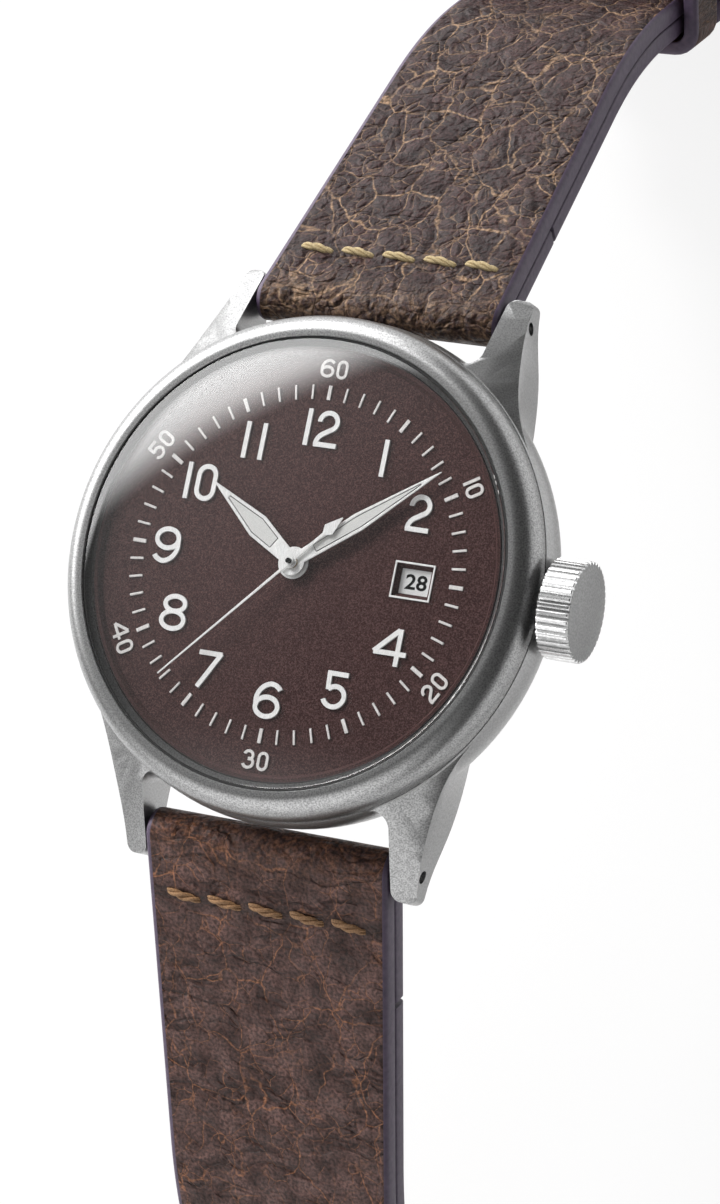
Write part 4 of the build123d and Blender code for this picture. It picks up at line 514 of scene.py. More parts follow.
figure_sharp = 40.0
figure_metal = satin_metal("satin_silver_figures", "#e0e0df", "#cfcfce", 0.45, metallic=0.15)
print_metal = satin_metal("satin_silver_print", "#d6d3d1", "#bebbb9", 0.5, metallic=0.1)
hand_metal = satin_metal("satin_hand_metal", "#e2e2e1", "#c8c8c7", 0.4, metallic=0.2)
luminous_paste = grained_matt("luminous_paste", "#d3d3d1", "#b5b5b3")
pocket_shade = grained_matt("dark_pocket_edge", "#4a4646", "#302d2d")
for node, metal, rounding, segments in (
    ("hour_numerals", figure_metal, 0.05, 2),
    ("minute_numerals", print_metal, 0.03, 1),
    ("minute_markers", print_metal, 0.03, 1),
    ("date_window_frame", figure_metal, 0.03, 2),
    ("hour_hand", hand_metal, 0.04, 2),
    ("minute_hand", hand_metal, 0.04, 2),
    ("seconds_hand", hand_metal, 0.02, 2),
):
    dress(node, metal, rounding, figure_sharp, segments)
for node in ("hour_hand_lume", "minute_hand_lume"):
    dress(node, luminous_paste, rounding=0.07, sharp=figure_sharp, edges=pocket_shade)

# %% [markdown]
# ## The printed dates
# Under the window turns a silver-white disc with the days 1 to 31 printed round it in black. Day 28 is
# in the window at rest. The figures are Blender's own font turned into meshes: a curve object would do
# too, but its place has to be in the mesh, as every finished piece's is.

# %% Date disc and its figures
days = 31
day_shown = 28
figure_height = 1.15
figure_reach = 9.55
figure_stretch = 1.14
figure_weight = 0.022
ink_lift = 0.006
print_level = span("date_disc")[1][2] + ink_lift


def printed_day(day):
    """Vertices and faces of one day's figures, centred and scaled to height, then turned to its place
    about Z by its share of a full turn."""
    curve = bpy.data.curves.new("day", "FONT")
    curve.body = str(day)
    curve.resolution_u = 3
    curve.offset = figure_weight
    holder = bpy.data.objects.new("day", curve)
    flat = bpy.data.meshes.new_from_object(holder)
    place = places_of(flat)
    low, high = place.min(axis=0), place.max(axis=0)
    place = (place - (low + high) / 2) * figure_height / (high[1] - low[1])
    angle = 2 * np.pi * (day - day_shown) / days
    out = place[:, :1] * figure_stretch + figure_reach
    on_disc = out * unit(angle) + place[:, 1:2] * unit(angle + np.pi / 2)
    faces = [tuple(face.vertices) for face in flat.polygons]
    bpy.data.objects.remove(holder)
    bpy.data.curves.remove(curve)
    bpy.data.meshes.remove(flat)
    return np.column_stack([on_disc, np.full(len(out), print_level)]), faces


figures = [printed_day(day) for day in range(1, days + 1)]
firsts = np.cumsum([0] + [len(place) for place, _ in figures])
printed_faces = [
    tuple(int(corner + first) for corner in face)
    for (_, faces), first in zip(figures, firsts) for face in faces
]
print_mesh = new_mesh("date_print", np.vstack([place for place, _ in figures]), printed_faces)
black_ink = grained_matt("black_printing_ink", "#161517", "#0c0b0d", relief=0.002, gloss=0.05)
show(print_mesh, [black_ink], "date_disc", instead=False)
disc_silver = grained_matt("silver_white_disc", "#dcdcdc", "#cdcdcd", 0.05, 0.002, 0.45)
coat(disc_silver, "date_disc")

# %% [markdown]
# ## The crown
# The crown has flat-topped ridges with a V-shaped groove between each two. Its surface is a profile
# turned about the stem, cut down to a groove's depth wherever the angle falls in a groove. Forty
# cutters and Boolean steps would do the same and leave a worse mesh. The end face is a finer satin
# whose colour is darker than the ridges': painted shade for the shadowed floor that it mirrors. So
# its faces have a material of their own.

# %% Crown
flutes = 40
groove_depth = 0.3
groove_width = 0.34
points_per_flute = 12
crown_low, crown_high = span("crown")
crown_radius = (crown_high[1] - crown_low[1]) / 2
crown_level = (crown_high[2] + crown_low[2]) / 2
crown_start, crown_tip = crown_low[0], crown_high[0]
crown_bevel = 0.12
bevel_bulge = 0.35
crown_rise = 0.3
cup_depth = 1.5
socket_radius = 0.5
groove_share = groove_width * flutes / (2 * math.pi * crown_radius)
cup_radius = span("crown_gasket")[1][2] - crown_level
cup_end = crown_start + cup_depth
end_x = crown_tip - crown_rise
end_arc = dome(crown_radius - crown_bevel, end_x, crown_tip, count=24)
side_places = np.linspace(end_x - crown_bevel, crown_start + crown_bevel / 2, 6)

crown_profile = np.vstack([
    end_arc[:, ::-1],
    [(end_x - crown_bevel * bevel_bulge, crown_radius - crown_bevel * bevel_bulge)],
    [(place, crown_radius) for place in side_places],
    [(crown_start, crown_radius - crown_bevel / 2), (crown_start, cup_radius)],
    [(cup_end, cup_radius), (cup_end, socket_radius), (cup_end, 0.0)],
])
spot = np.arange(flutes * points_per_flute)
angle = spot * 2 * np.pi / len(spot)
phase = (spot % points_per_flute) / points_per_flute
from_groove = np.minimum(phase, 1 - phase)
cut = groove_depth * np.clip(1 - from_groove / (groove_share / 2), 0, 1)
radius = np.minimum(crown_profile[:, 1:], crown_radius - cut[None, :])
crown_points = np.stack(np.broadcast_arrays(
    crown_profile[:, :1], radius * np.cos(angle), crown_level + radius * np.sin(angle)
), axis=-1)
crown_kinds = np.zeros((len(crown_profile) - 1, len(angle)), np.int32)
# The end face's rows get the steel with painted shade.
crown_kinds[:len(end_arc) - 1] = 1
crown_mesh = grid_mesh("fluted_crown", crown_points, sharp=28.0, kinds=crown_kinds)
show(crown_mesh, [crown_steel, crown_end_shaded_steel], "crown")
print("crown across, mm:", round(float(crown_radius) * 2, 2))

# %% [markdown]
# ## Leather
# The strap is thick waxed leather with painted edges. Wear has pulled its wax into a net of fine
# cracks, and each crack shows the pale leather under it. Leather is laid out flat when it is made, so
# the patterns are drawn in the strap's own flat map, in millimetres, and they follow every bend. Cracks
# are the borders of Voronoi cells of two sizes. Plain cells look like tiles, so noises first push their
# map about. Between the cracks the leather is domed, grained and wrinkled by its bump. The upper half
# is cracked all over, and the lower half is redder, with sparser, longer tan lines.

# %% Patterns in leather
furrow_size = 2.4


def pushed(tree, place, size, amount):
    """A map moved about by a noise: its colour less a half, times an amount in mm."""
    push = add_node(tree, "TexNoise", {"Vector": place, "Scale": 1 / size, "Detail": 2.0}, out="Color")
    push = add_node(tree, "VectorMath", {0: push, 1: (0.5, 0.5, 0.5)}, operation="SUBTRACT")
    push = add_node(tree, "VectorMath", {0: push, "Scale": amount}, operation="SCALE")
    return add_node(tree, "VectorMath", {0: place, 1: push}, operation="ADD")


def patches(tree, place, size, low, high, full=1.0, detail=2.0):
    """A noise of a size in mm, stretched so that low gives 0 and high gives full."""
    cloud = add_node(tree, "TexNoise", {"Vector": place, "Scale": 1 / size, "Detail": detail})
    return add_node(tree, "MapRange", {
        "Value": cloud, "From Min": low, "From Max": high, "To Max": full,
    })


def borders(tree, place, size, half_line, share):
    """Voronoi cells, and the net of their borders: 1 within 0.3 half lines of a border and 0 beyond
    2.2 of them, times a share."""
    cells = add_node(tree, "TexVoronoi", {
        "Vector": place, "Scale": 1 / size,
    }, feature="DISTANCE_TO_EDGE")
    net = add_node(tree, "MapRange", {
        "Value": cells, "From Min": 2.2 * half_line / size, "From Max": 0.3 * half_line / size,
    }, interpolation_type="SMOOTHSTEP")
    return cells, add_node(tree, "Math", {0: net, 1: share}, operation="MULTIPLY")


def furrows(tree, flat, bent, depth):
    """Long slanting valleys, in patches: the places where a stretched noise is within 0.05 of its
    middle."""
    slanting = add_node(tree, "Mapping", {
        "Vector": bent, "Scale": (0.22, 1.0, 1.0), "Rotation": (0, 0, -0.55),
    })
    cloud = add_node(tree, "TexNoise", {"Vector": slanting, "Scale": 1 / furrow_size, "Detail": 2.0})
    off_middle = add_node(tree, "Math", {0: cloud, 1: 0.5}, operation="SUBTRACT")
    off_middle = add_node(tree, "Math", {0: off_middle}, operation="ABSOLUTE")
    wrinkle_and_shade = add_node(tree, "MapRange", {
        "Value": off_middle, "From Min": 0.05, "From Max": 0.0,
    }, interpolation_type="SMOOTHSTEP")
    share = patches(tree, flat, 6.0, low=0.4, high=0.56, full=depth)
    return add_node(tree, "Math", {0: wrinkle_and_shade, 1: share}, operation="MULTIPLY")


# %% Leather materials
stitch_reach = 4.3
stitch_count = 5
stitch_pitch = 3.45
leather_half = 1.7
stitch_row = stitch_reach + math.pi * leather_half / 2
seam_dark, seam_clear = 0.3, 0.7
seam_colour = "#2a1f1c"
fine_net, fine_line = 0.4, 0.8
bend_full = 0.8
pore_size = 0.26


def waxed_leather(name, tones, crack, net, half_line, shares, furrow, wear_and_shade, bend_reach, relief):
    """Waxed and cracked leather on the strap's flat map, in mm. tones are the ground's dark and light,
    net a crack cell's width, half_line half a crack's, shares how strongly wide and fine cracks show,
    furrow how deep a wrinkle is and how dark its painted shade, wear_and_shade the colour of wear by
    the spring bar, painted darker as shade where the case shades the leather, bend_reach how far from
    the spring bar that colour runs, and relief how high the leather is domed between the cracks."""
    material, tree, shader = start_material(name, Specular_IOR_Level=0.26)
    flat = add_node(tree, "UVMap", uv_map="millimetres")
    bent = pushed(tree, pushed(tree, flat, size=4.0, amount=2.4), size=0.9, amount=0.34)

    # A wide slanting net of cracks, a fine one, and long wrinkles
    slanting = add_node(tree, "Mapping", {
        "Vector": bent, "Scale": (1.0, 0.62, 1.0), "Rotation": (0, 0, 0.6),
    })
    cells, wide = borders(
        tree, slanting, net, half_line, patches(tree, flat, 3.6, low=0.36, high=0.56, full=shares[0])
    )
    small_cells, fine = borders(
        tree, bent, net * fine_net, half_line * fine_line,
        patches(tree, flat, 2.8, low=0.42, high=0.62, full=shares[1]),
    )
    cracks = add_node(tree, "Math", {0: wide, 1: fine}, operation="MAXIMUM")
    # Wrinkles are bumped down, and the same mask paints shade into their colour.
    wrinkle_and_shade = furrows(tree, flat, bent, furrow)

    # Wear and painted shade where the leather bends round its bar, and a dark band by the stitches
    along = add_node(tree, "SeparateXYZ", {"Vector": flat}, out="Y")
    off_bar = add_node(tree, "Math", {0: along}, operation="ABSOLUTE")
    bend = add_node(tree, "MapRange", {
        "Value": off_bar, "From Min": bend_reach, "From Max": bend_full,
    })
    fuzz = patches(tree, bent, 0.5, low=0.42, high=0.72, full=0.7, detail=4.0)
    rubbed_and_shaded = patches(tree, bent, 2.0, low=0.4, high=0.7, full=0.6)
    fuzz, rubbed_and_shaded = (
        add_node(tree, "Math", {0: bend, 1: pattern}, operation="MULTIPLY")
        for pattern in (fuzz, rubbed_and_shaded)
    )
    bare = add_node(tree, "Math", {0: cracks, 1: fuzz}, operation="MAXIMUM")
    # A darker band along the row of stitches, a little wider than the thread.
    off_seam = add_node(tree, "Math", {0: along, 1: stitch_row}, operation="SUBTRACT")
    off_seam = add_node(tree, "Math", {0: off_seam}, operation="ABSOLUTE")
    seam = add_node(tree, "MapRange", {
        "Value": off_seam, "From Min": seam_clear, "From Max": seam_dark, "To Max": 0.6,
    }, interpolation_type="SMOOTHSTEP")

    # Colour: the ground, then painted shade in the wrinkles, pale cracks, wear and a seam band;
    # then a grain that darkens and lightens them all
    tint = add_node(tree, "ValToRGB", {
        "Fac": patches(tree, bent, 2.6, low=0.3, high=0.7, detail=5.0),
    }, stops=[(0.1, tones[0]), (0.9, tones[1])])
    for share, code in ((wrinkle_and_shade, tones[0]), (bare, crack), (rubbed_and_shaded, wear_and_shade), (seam, seam_colour)):
        tint = add_node(tree, "Mix", {0: share, 6: tint, 7: colour(code)}, out=2, data_type="RGBA")
    grain = add_node(tree, "TexNoise", {"Vector": flat, "Scale": 1 / pore_size, "Detail": 1.0})
    shade = add_node(tree, "MapRange", {
        "Value": grain, "From Min": 0.34, "From Max": 0.66, "To Min": 0.5, "To Max": 1.5,
    })
    tint = add_node(tree, "VectorMath", {0: tint, "Scale": shade}, operation="SCALE")

    # Relief: domes between the cracks, and the grain, less the wrinkles and the fine cracks
    pillow, pebble = (
        add_node(tree, "MapRange", {"Value": domed, "From Max": reach}, interpolation_type="SMOOTHSTEP")
        for domed, reach in ((cells, 0.3), (small_cells, 0.35))
    )
    height = weighted(
        tree, 0.0, (0.9, pillow), (0.63, pebble), (0.6, grain), (-1.6, wrinkle_and_shade), (-0.3, fine)
    )
    bump = add_node(tree, "Bump", {"Height": height, "Distance": relief * MM})
    rough = weighted(tree, 0.45, (0.3, patches(tree, bent, 1.6, low=0.3, high=0.7, full=0.72)))
    drive(tree, shader, Base_Color=tint, Roughness=rough, Normal=bump)
    return material


# %% The strap's leathers
upper_leather = waxed_leather(
    "cracked_brown_leather", tones=("#231616", "#392625"), crack="#8a6f56", net=2.7, half_line=0.042,
    shares=(0.8, 0.5), furrow=0.6, wear_and_shade="#38271e", bend_reach=5.0, relief=0.16,
)
# The lower half's colour by the bar is darker than its ground: painted shade under the case.
lower_leather = waxed_leather(
    "split_red_brown_leather", tones=("#35221e", "#634a45"), crack="#8f6044", net=3.6, half_line=0.03,
    shares=(0.75, 0.6), furrow=1.0, wear_and_shade="#2b1914", bend_reach=5.0, relief=0.12,
)
keeper_leather = waxed_leather(
    "keeper_leather", tones=("#312220", "#503b36"), crack="#866549", net=2.6, half_line=0.04,
    shares=(0.6, 0.5), furrow=0.3, wear_and_shade="#503b36", bend_reach=0.9, relief=0.1,
)
edge_paint = grained_matt("purple_brown_edge_paint", "#54465a", "#43374a", 0.5, 0.03, 0.5)
lining_leather = grained_matt("smooth_lining_leather", "#6b4f40", "#54392d", 0.35, 0.03, 0.6)
print("nodes in a leather:", len(upper_leather.node_tree.nodes))

# %% [markdown]
# ## The strap's line
# Seen from the side each half leaves its spring bar straight, bends over, runs down steeply and turns
# out flat on its foot. A curve drawn by hand could follow it, but the leather's flat map needs exact
# distances. So the line is a list of straight runs and arcs, and one function walks it and gives
# points, headings and the distance walked.

# %% Strap line
bar_low, bar_high = span("spring_bar_upper")
bar_point = ((bar_low[1] + bar_high[1]) / 2, (bar_low[2] + bar_high[2]) / 2)
bar_hole = 0.97
end_hole = 0.82
root_width = 20.1
buckle_end_width = 16.0
tail_end_width = 14.8
fold_flap = 11.0
buckle_flap = 8.5
upper_heading = -34.4
lower_heading = -31.2
upper_runs = [(26.0, 0), (35.0, -21.6), (16.0, 0), (10.0, 56.0), (10.0, 0)]
lower_runs = [(26.0, 0), (40.0, -24.8), (12.282, 0), (14.0, 56.0), (45.7, 0)]
pitch = 0.5


def walk(start, heading, runs):
    """Points, headings and distances along runs. A run is a length and 0, or a radius and its turn in
    degrees: on an arc the point is the centre plus the radius at the heading less a right angle."""
    points, headings, walked = [], [], [0.0]
    point = np.array(start, float)
    for size, bend in runs:
        length = size if bend == 0 else abs(math.radians(bend)) * size
        share = np.linspace(0, 1, max(2, math.ceil(length / pitch) + 1))
        angle = np.radians(heading + bend * share)
        if bend == 0:
            reached = point + share[:, None] * size * unit(angle[0])
        else:
            side = math.copysign(math.pi / 2, bend)
            centre = point + size * unit(angle[0] + side)
            reached = centre + size * unit(angle - side)
        points.append(reached)
        headings.append(angle)
        walked.append(walked[-1] + length)
        point, heading = reached[-1], heading + bend
    away = np.concatenate([
        np.linspace(first, last, len(part)) for first, last, part in zip(walked, walked[1:], points)
    ])
    joined, angles = np.vstack(points), np.concatenate(headings)
    keep = np.concatenate([[True], np.diff(away) > pitch / 50])
    return joined[keep], angles[keep], away[keep]


def half_width(points, start, end, end_width):
    """Half the strap's width beside points: it narrows evenly along the chord from start to end."""
    chord = end - start
    share = (points - start) @ chord / (chord @ chord)
    return (root_width - (root_width - end_width) * share) / 2


print("spring bar at y and z, mm:", *(round(float(part), 2) for part in bar_point))

# %% [markdown]
# ## A band of leather
# Every leather piece is a band with a face, a back and two painted edges, whose corners are rounded.
# A thin sheet with a Solidify modifier would be as thick, but with square corners and no flat map of
# its own. So the band is swept along pairs of points, one on its face and one on its back. Its
# cross-section is a loop of columns: each column has its share of the width, how far it lies in from
# the edge, and how deep it lies under the face.

# %% Leather band
columns = 15
corner_steps = 5
back_rounding = 0.4


def leather_band(name, face, back, half_widths, across, walked, rounding=0.5, closed=False):
    """A band between two lines of points. A point is the face, less its depth along the way to the
    back, plus its share of the half width across. A corner's depth and inset are those of a circle,
    and the corners of the back are back_rounding times those of the face."""
    turn_angle = np.linspace(np.pi / 2, 0, corner_steps)
    deep = rounding * (1 - np.sin(turn_angle))
    inset = rounding * (1 - np.cos(turn_angle))
    middle, edge = np.linspace(-1, 1, columns), np.ones(2 * corner_steps)
    share = np.concatenate([middle, edge, middle[::-1], -edge])
    run, corner = np.zeros(columns), np.zeros(corner_steps)
    near = np.concatenate([
        run + rounding, inset, inset[::-1] * back_rounding,
        run + rounding * back_rounding, inset * back_rounding, inset[::-1],
    ])
    from_face = np.concatenate([run, deep, corner, run, corner, deep[::-1]])
    from_back = back_rounding * np.concatenate([run, corner, deep[::-1], run, deep, corner])
    on_back = np.concatenate([run, corner, corner + 1, run + 1, corner + 1, corner]) > 0
    gap = back - face
    thickness = np.linalg.norm(gap, axis=1, keepdims=True)
    inwards = gap / thickness
    depth = np.where(on_back, thickness - from_back, from_face)
    offset = share * (half_widths[:, None] - near)
    points = face[:, None] + inwards[:, None] * depth[..., None] + offset[..., None] * across
    flat = np.stack(np.broadcast_arrays(offset, walked[:, None]), axis=-1)
    painted = np.zeros(len(share), np.int32)
    painted[columns + 1:columns + len(edge) - 1] = 1
    painted[2 * columns + len(edge) + 1:] = 1
    if not closed:
        ends = [np.broadcast_to(end.mean(axis=0), points[:1].shape) for end in (points[0], points[-1])]
        points = np.concatenate([ends[0], points, ends[1]])
        flat = np.concatenate([flat[:1], flat, flat[-1:]])
    kinds = np.tile(painted, (len(points) - (0 if closed else 1), 1))
    if not closed:
        kinds[0], kinds[-1] = 1, 1
    return grid_mesh(name, points, 50.0, closed, flat, kinds)


# %% Sheets bent round their bars
def in_space(side, flat_points):
    """Side view points in space: a half's outward distance is Y times its side, the other is Z."""
    return np.stack([np.zeros(len(flat_points)), side * flat_points[:, 0], flat_points[:, 1]], axis=1)


def offsets(points, angles, amount):
    """Points plus an amount times the step square to their heading."""
    return points + np.asarray(amount)[..., None] * unit(angles + np.pi / 2)


layer_gap = 0.03
tolerance = 0.01
turn_steps = 25


def hugging(distance, hole):
    """Height of a sheet's back over the line beside a bar: the root of the hole's square less the
    distance's, and beyond the hole only the gap between layers."""
    return np.sqrt(np.maximum(hole ** 2 - distance ** 2, layer_gap ** 2))


def bent_round(centre, heading, hole):
    """Face and back of a sheet that turns round a bar, from under the line to over it: the centre
    plus a radius times the unit steps, and the distance walked on the face."""
    sweep = heading - np.linspace(np.pi / 2, 3 * np.pi / 2, turn_steps)[1:-1]
    walked = leather_half * (sweep - heading + np.pi)
    return centre + leather_half * unit(sweep), centre + hole * unit(sweep), walked


# %% The outer leather's lines
def strap_sheets(side, heading, runs, end_width, hole_at_end):
    """Face, back, width and distance of a half's outer leather, from its flap's end, round the spring
    bar and down the half, and round the buckle's bar too where hole_at_end is given."""
    line, angles, away = walk(bar_point, heading, runs)
    start, end = line[0], line[-1]
    flap = away <= fold_flap + tolerance
    lead = np.pi * leather_half / 2
    turn_face, turn_back, turn_walk = bent_round(start, angles[0], bar_hole)
    rise = hugging(away, bar_hole)
    face = [offsets(line[flap], angles[flap], -leather_half)[::-1], turn_face]
    back = [offsets(line[flap], angles[flap], -rise[flap])[::-1], turn_back]
    if hole_at_end is not None:
        rise = np.maximum(rise, hugging(away[-1] - away, hole_at_end))
    face.append(offsets(line, angles, leather_half))
    back.append(offsets(line, angles, rise))
    walked = [-(away[flap][::-1]) - lead, -turn_walk, away + lead]
    beside = [line[flap][::-1], np.tile(start, (len(turn_face), 1)), line]
    if hole_at_end is not None:
        far = away >= away[-1] - buckle_flap - tolerance
        left = away[-1] - away[far]
        far_face, far_back, far_walk = bent_round(end, angles[-1] + np.pi, hole_at_end)
        face += [far_face, offsets(line[far], angles[far], -leather_half)[::-1]]
        back += [far_back, offsets(line[far], angles[far], -hugging(left, hole_at_end))[::-1]]
        walked += [away[-1] + 2 * lead - far_walk, away[-1] + 3 * lead + left[::-1]]
        beside += [np.tile(end, (len(far_face), 1)), line[far][::-1]]
    face, back, beside = (in_space(side, np.vstack(part)) for part in (face, back, beside))
    widths = half_width(np.stack([beside[:, 1] * side, beside[:, 2]], axis=1), start, end, end_width)
    return face, back, widths, np.concatenate(walked), line, angles, away


crosswise = np.array([1.0, 0.0, 0.0])
upper = strap_sheets(1, upper_heading, upper_runs, buckle_end_width, end_hole)
lower = strap_sheets(-1, lower_heading, lower_runs, tail_end_width, None)
print("upper half walked, mm:", round(float(upper[6][-1]), 1), "lower:", round(float(lower[6][-1]), 1))

# %% [markdown]
# ## The two halves
# The lower half ends in a blunt point. A cutter could make the point, but it would leave a bare
# square edge. So the band's width is brought in over the last few millimetres, and its rounded edge
# goes along. The lining under it takes the same width, so the two layers stay flush.

# %% Strap halves
point_length = 9.0
point_half_width = 2.6
flap_gap = 0.1


def pointed(widths, line_walked, end_walked):
    """Half widths brought in to the blunt point over its length, in a straight line."""
    left = (end_walked - line_walked) / point_length
    return np.where(left < 1, point_half_width + (widths - point_half_width) * left, widths)


def lining_band(name, side, sheets, end_cut, end_width, pointed_end):
    """The lining between the folded flaps: its face is the strap's underside."""
    line, angles, away = sheets[4:]
    last = away[-1] - end_cut - (flap_gap if end_cut else 0)
    inner = (away >= fold_flap + flap_gap) & (away <= last)
    widths = half_width(line[inner], line[0], line[-1], end_width)
    if pointed_end:
        widths = pointed(widths, away[inner], away[-1])
    face, back = (
        in_space(side, offsets(line[inner], angles[inner], -depth))
        for depth in (leather_half, layer_gap)
    )
    return leather_band(name, face, back, widths, crosswise, away[inner])


upper_band = leather_band("upper_strap_leather", *upper[:3], crosswise, upper[3])
lower_widths = pointed(lower[2], lower[3], lower[3][-1])
lower_band = leather_band("lower_strap_leather", lower[0], lower[1], lower_widths, crosswise, lower[3])
upper_lining = lining_band("upper_strap_lining", 1, upper, buckle_flap, buckle_end_width, False)
lower_lining = lining_band("lower_strap_lining", -1, lower, 0.0, tail_end_width, True)

# %% [markdown]
# ## Holes for the tongue
# The tail has a row of punched holes, and the upper half a slot for the tongue to swing in. Dark
# discs on the leather would do from afar, but a hole lets light and the tongue through. So they are
# real openings, cut with a Boolean modifier that is applied at once, so that no cutter is left over.

# %% Punched holes
tail_holes = 7
hole_pitch = 5.2
hole_radius = 0.95
first_hole = 10.0
tongue_low, tongue_high = span("buckle_tongue")
slot_play = 0.35
slot_half_width = (tongue_high[0] - tongue_low[0]) / 2 + slot_play
slot_reach = 4.5
floor_level = min(span("buckle_frame")[0][2], span("lower_lining")[0][2])
cut_from, cut_to = floor_level - 1.0, floor_level + 6.0
punched_sharp = 45.0


def upright_cutter(outlines):
    """Upright prisms over closed outlines of (x, y) points."""
    shape = bmesh.new()
    for outline in outlines:
        ring = [shape.verts.new((x * MM, y * MM, cut_from * MM)) for x, y in outline]
        bottom = shape.faces.new(ring)
        grown = bmesh.ops.extrude_face_region(shape, geom=[bottom])
        tops = [item for item in grown["geom"] if isinstance(item, bmesh.types.BMVert)]
        bmesh.ops.translate(shape, verts=tops, vec=(0, 0, (cut_to - cut_from) * MM))
    bmesh.ops.recalc_face_normals(shape, faces=shape.faces)
    mesh = bpy.data.meshes.new("cutter")
    shape.to_mesh(mesh)
    shape.free()
    return mesh


def punched(mesh, outlines):
    """The mesh less upright prisms over outlines, under the same name."""
    name, cutter_mesh = mesh.name, upright_cutter(outlines)
    target = bpy.data.objects.new("target", mesh)
    cutter = bpy.data.objects.new("cutter", cutter_mesh)
    for holder in (target, cutter):
        bpy.context.collection.objects.link(holder)
    boolean = target.modifiers.new("cut", "BOOLEAN")
    boolean.object = cutter
    boolean.operation = "DIFFERENCE"
    boolean.solver = "EXACT"
    bpy.context.view_layer.update()
    cut_target = target.evaluated_get(bpy.context.evaluated_depsgraph_get())
    result = bpy.data.meshes.new_from_object(cut_target)
    for holder in (target, cutter):
        bpy.data.objects.remove(holder)
    for spent in (mesh, cutter_mesh):
        bpy.data.meshes.remove(spent)
    result.name = name
    return smoothed(result, punched_sharp)


# %% Bands punched and shown
circle = hole_radius * unit(np.linspace(0, 2 * np.pi, 28, endpoint=False))
holes_from = span("lower_leather")[0][1] + point_length + first_hole
holes = [circle + (0, holes_from + hole * hole_pitch) for hole in range(tail_holes)]
square = ((-1, -1), (1, -1), (1, 1), (-1, 1))
tongue_slot = [(x * slot_half_width, upper[4][-1, 0] + y * slot_reach) for x, y in square]
for mesh, outlines, leather, node in (
    (upper_band, [tongue_slot], upper_leather, "upper_leather"),
    (lower_band, holes, lower_leather, "lower_leather"),
    (upper_lining, [], lining_leather, "upper_lining"),
    (lower_lining, holes, lining_leather, "lower_lining"),
):
    show(punched(mesh, outlines) if outlines else mesh, [leather, edge_paint], node)

# %% [markdown]
# ## Stitches
# Five thick stitches cross each half beside the spring bar and hold the fold. The thread is waxed and
# laid from three plies. A bump in the leather could hint at them, but these stand up and throw a
# shadow. So each ply is a thin tube round a line that winds about the stitch's own line, which rises
# out of one hole and dips into the next.

# %% Stitches
stitch_length = 2.95
stitch_slant = 0.42
ply_radius = 0.17
ply_reach = 0.2
plies = 3
winding = 0.8
end_swell, swell_power = 0.35, 0.4
arch_height, arch_power, arch_sink = 0.3, 0.6, 0.16
flattening = 0.75


def plied_stitches(name, side, heading):
    """Tubes round plies. Along a stitch a share u goes from 0 to 1: its line is length (u - 1/2)
    across and arched by a power of sin(pi u), a ply winds about it at the angle
    2 pi (winding u + ply / plies), and both the ply and its distance from the line swell by another
    power of sin(pi u)."""
    u = np.linspace(0, 1, 34)[None, None, :, None]
    ply = np.arange(plies)[None, :, None, None]
    stitch = (np.arange(stitch_count) - (stitch_count - 1) / 2)[:, None, None, None]
    ring = np.linspace(0, 2 * np.pi, 9)[None, None, None, :]
    wound = 2 * np.pi * (winding * u + ply / plies)
    swell = end_swell + (1 - end_swell) * np.sin(np.pi * u) ** swell_power
    lift = arch_height * np.sin(np.pi * u) ** arch_power - arch_sink
    x = stitch * stitch_pitch + stitch_length * (u - 0.5)
    slant = -side * stitch_slant * (u - 0.5)
    beside = slant + swell * (ply_reach * np.cos(wound) + ply_radius * np.cos(ring))
    above = lift + swell * (ply_reach * np.sin(wound) * flattening + ply_radius * np.sin(ring))
    forward, outward = unit(math.radians(heading)), unit(math.radians(heading + 90))
    base = bar_point + stitch_reach * forward + leather_half * outward
    y = side * (base[0] + beside * forward[0] + above * outward[0])
    z = base[1] + beside * forward[1] + above * outward[1]
    points = np.stack(np.broadcast_arrays(x, y, z), axis=-1)
    tubes = points.reshape(-1, *points.shape[2:])
    index = np.arange(tubes[..., 0].size).reshape(tubes.shape[:3])
    quads = np.stack([
        index[:, :-1, :-1], index[:, :-1, 1:], index[:, 1:, 1:], index[:, 1:, :-1]
    ], axis=-1).reshape(-1, 4)
    caps = np.concatenate([index[:, 0, :-1], index[:, -1, :-1]])
    return tidy_mesh(new_mesh(name, tubes, quads.tolist() + caps.tolist()), sharp=60.0)


khaki_thread = grained_matt("waxed_khaki_thread", "#b7a47c", "#8a7754", 0.12, 0.03, 0.7)
tan_thread = grained_matt("waxed_tan_thread", "#a07a55", "#6f5238", 0.12, 0.03, 0.7)
show(plied_stitches("upper_thread", 1, upper_heading), [khaki_thread], "upper_stitches")
show(plied_stitches("lower_thread", -1, lower_heading), [tan_thread], "lower_stitches")

# %% [markdown]
# ## Keepers
# Two leather loops hold the strap's tail. The model's own loops have the right size, but no flat map
# to draw the leather in. So they are the same kind of band as the strap, bent round a rounded
# rectangle and closed on itself.

# %% Keepers
keeper_wall = 1.2
keeper_corner = 0.9
keeper_slope = -56.0
keeper_rounding = 0.4
keeper_map_start = 40.0


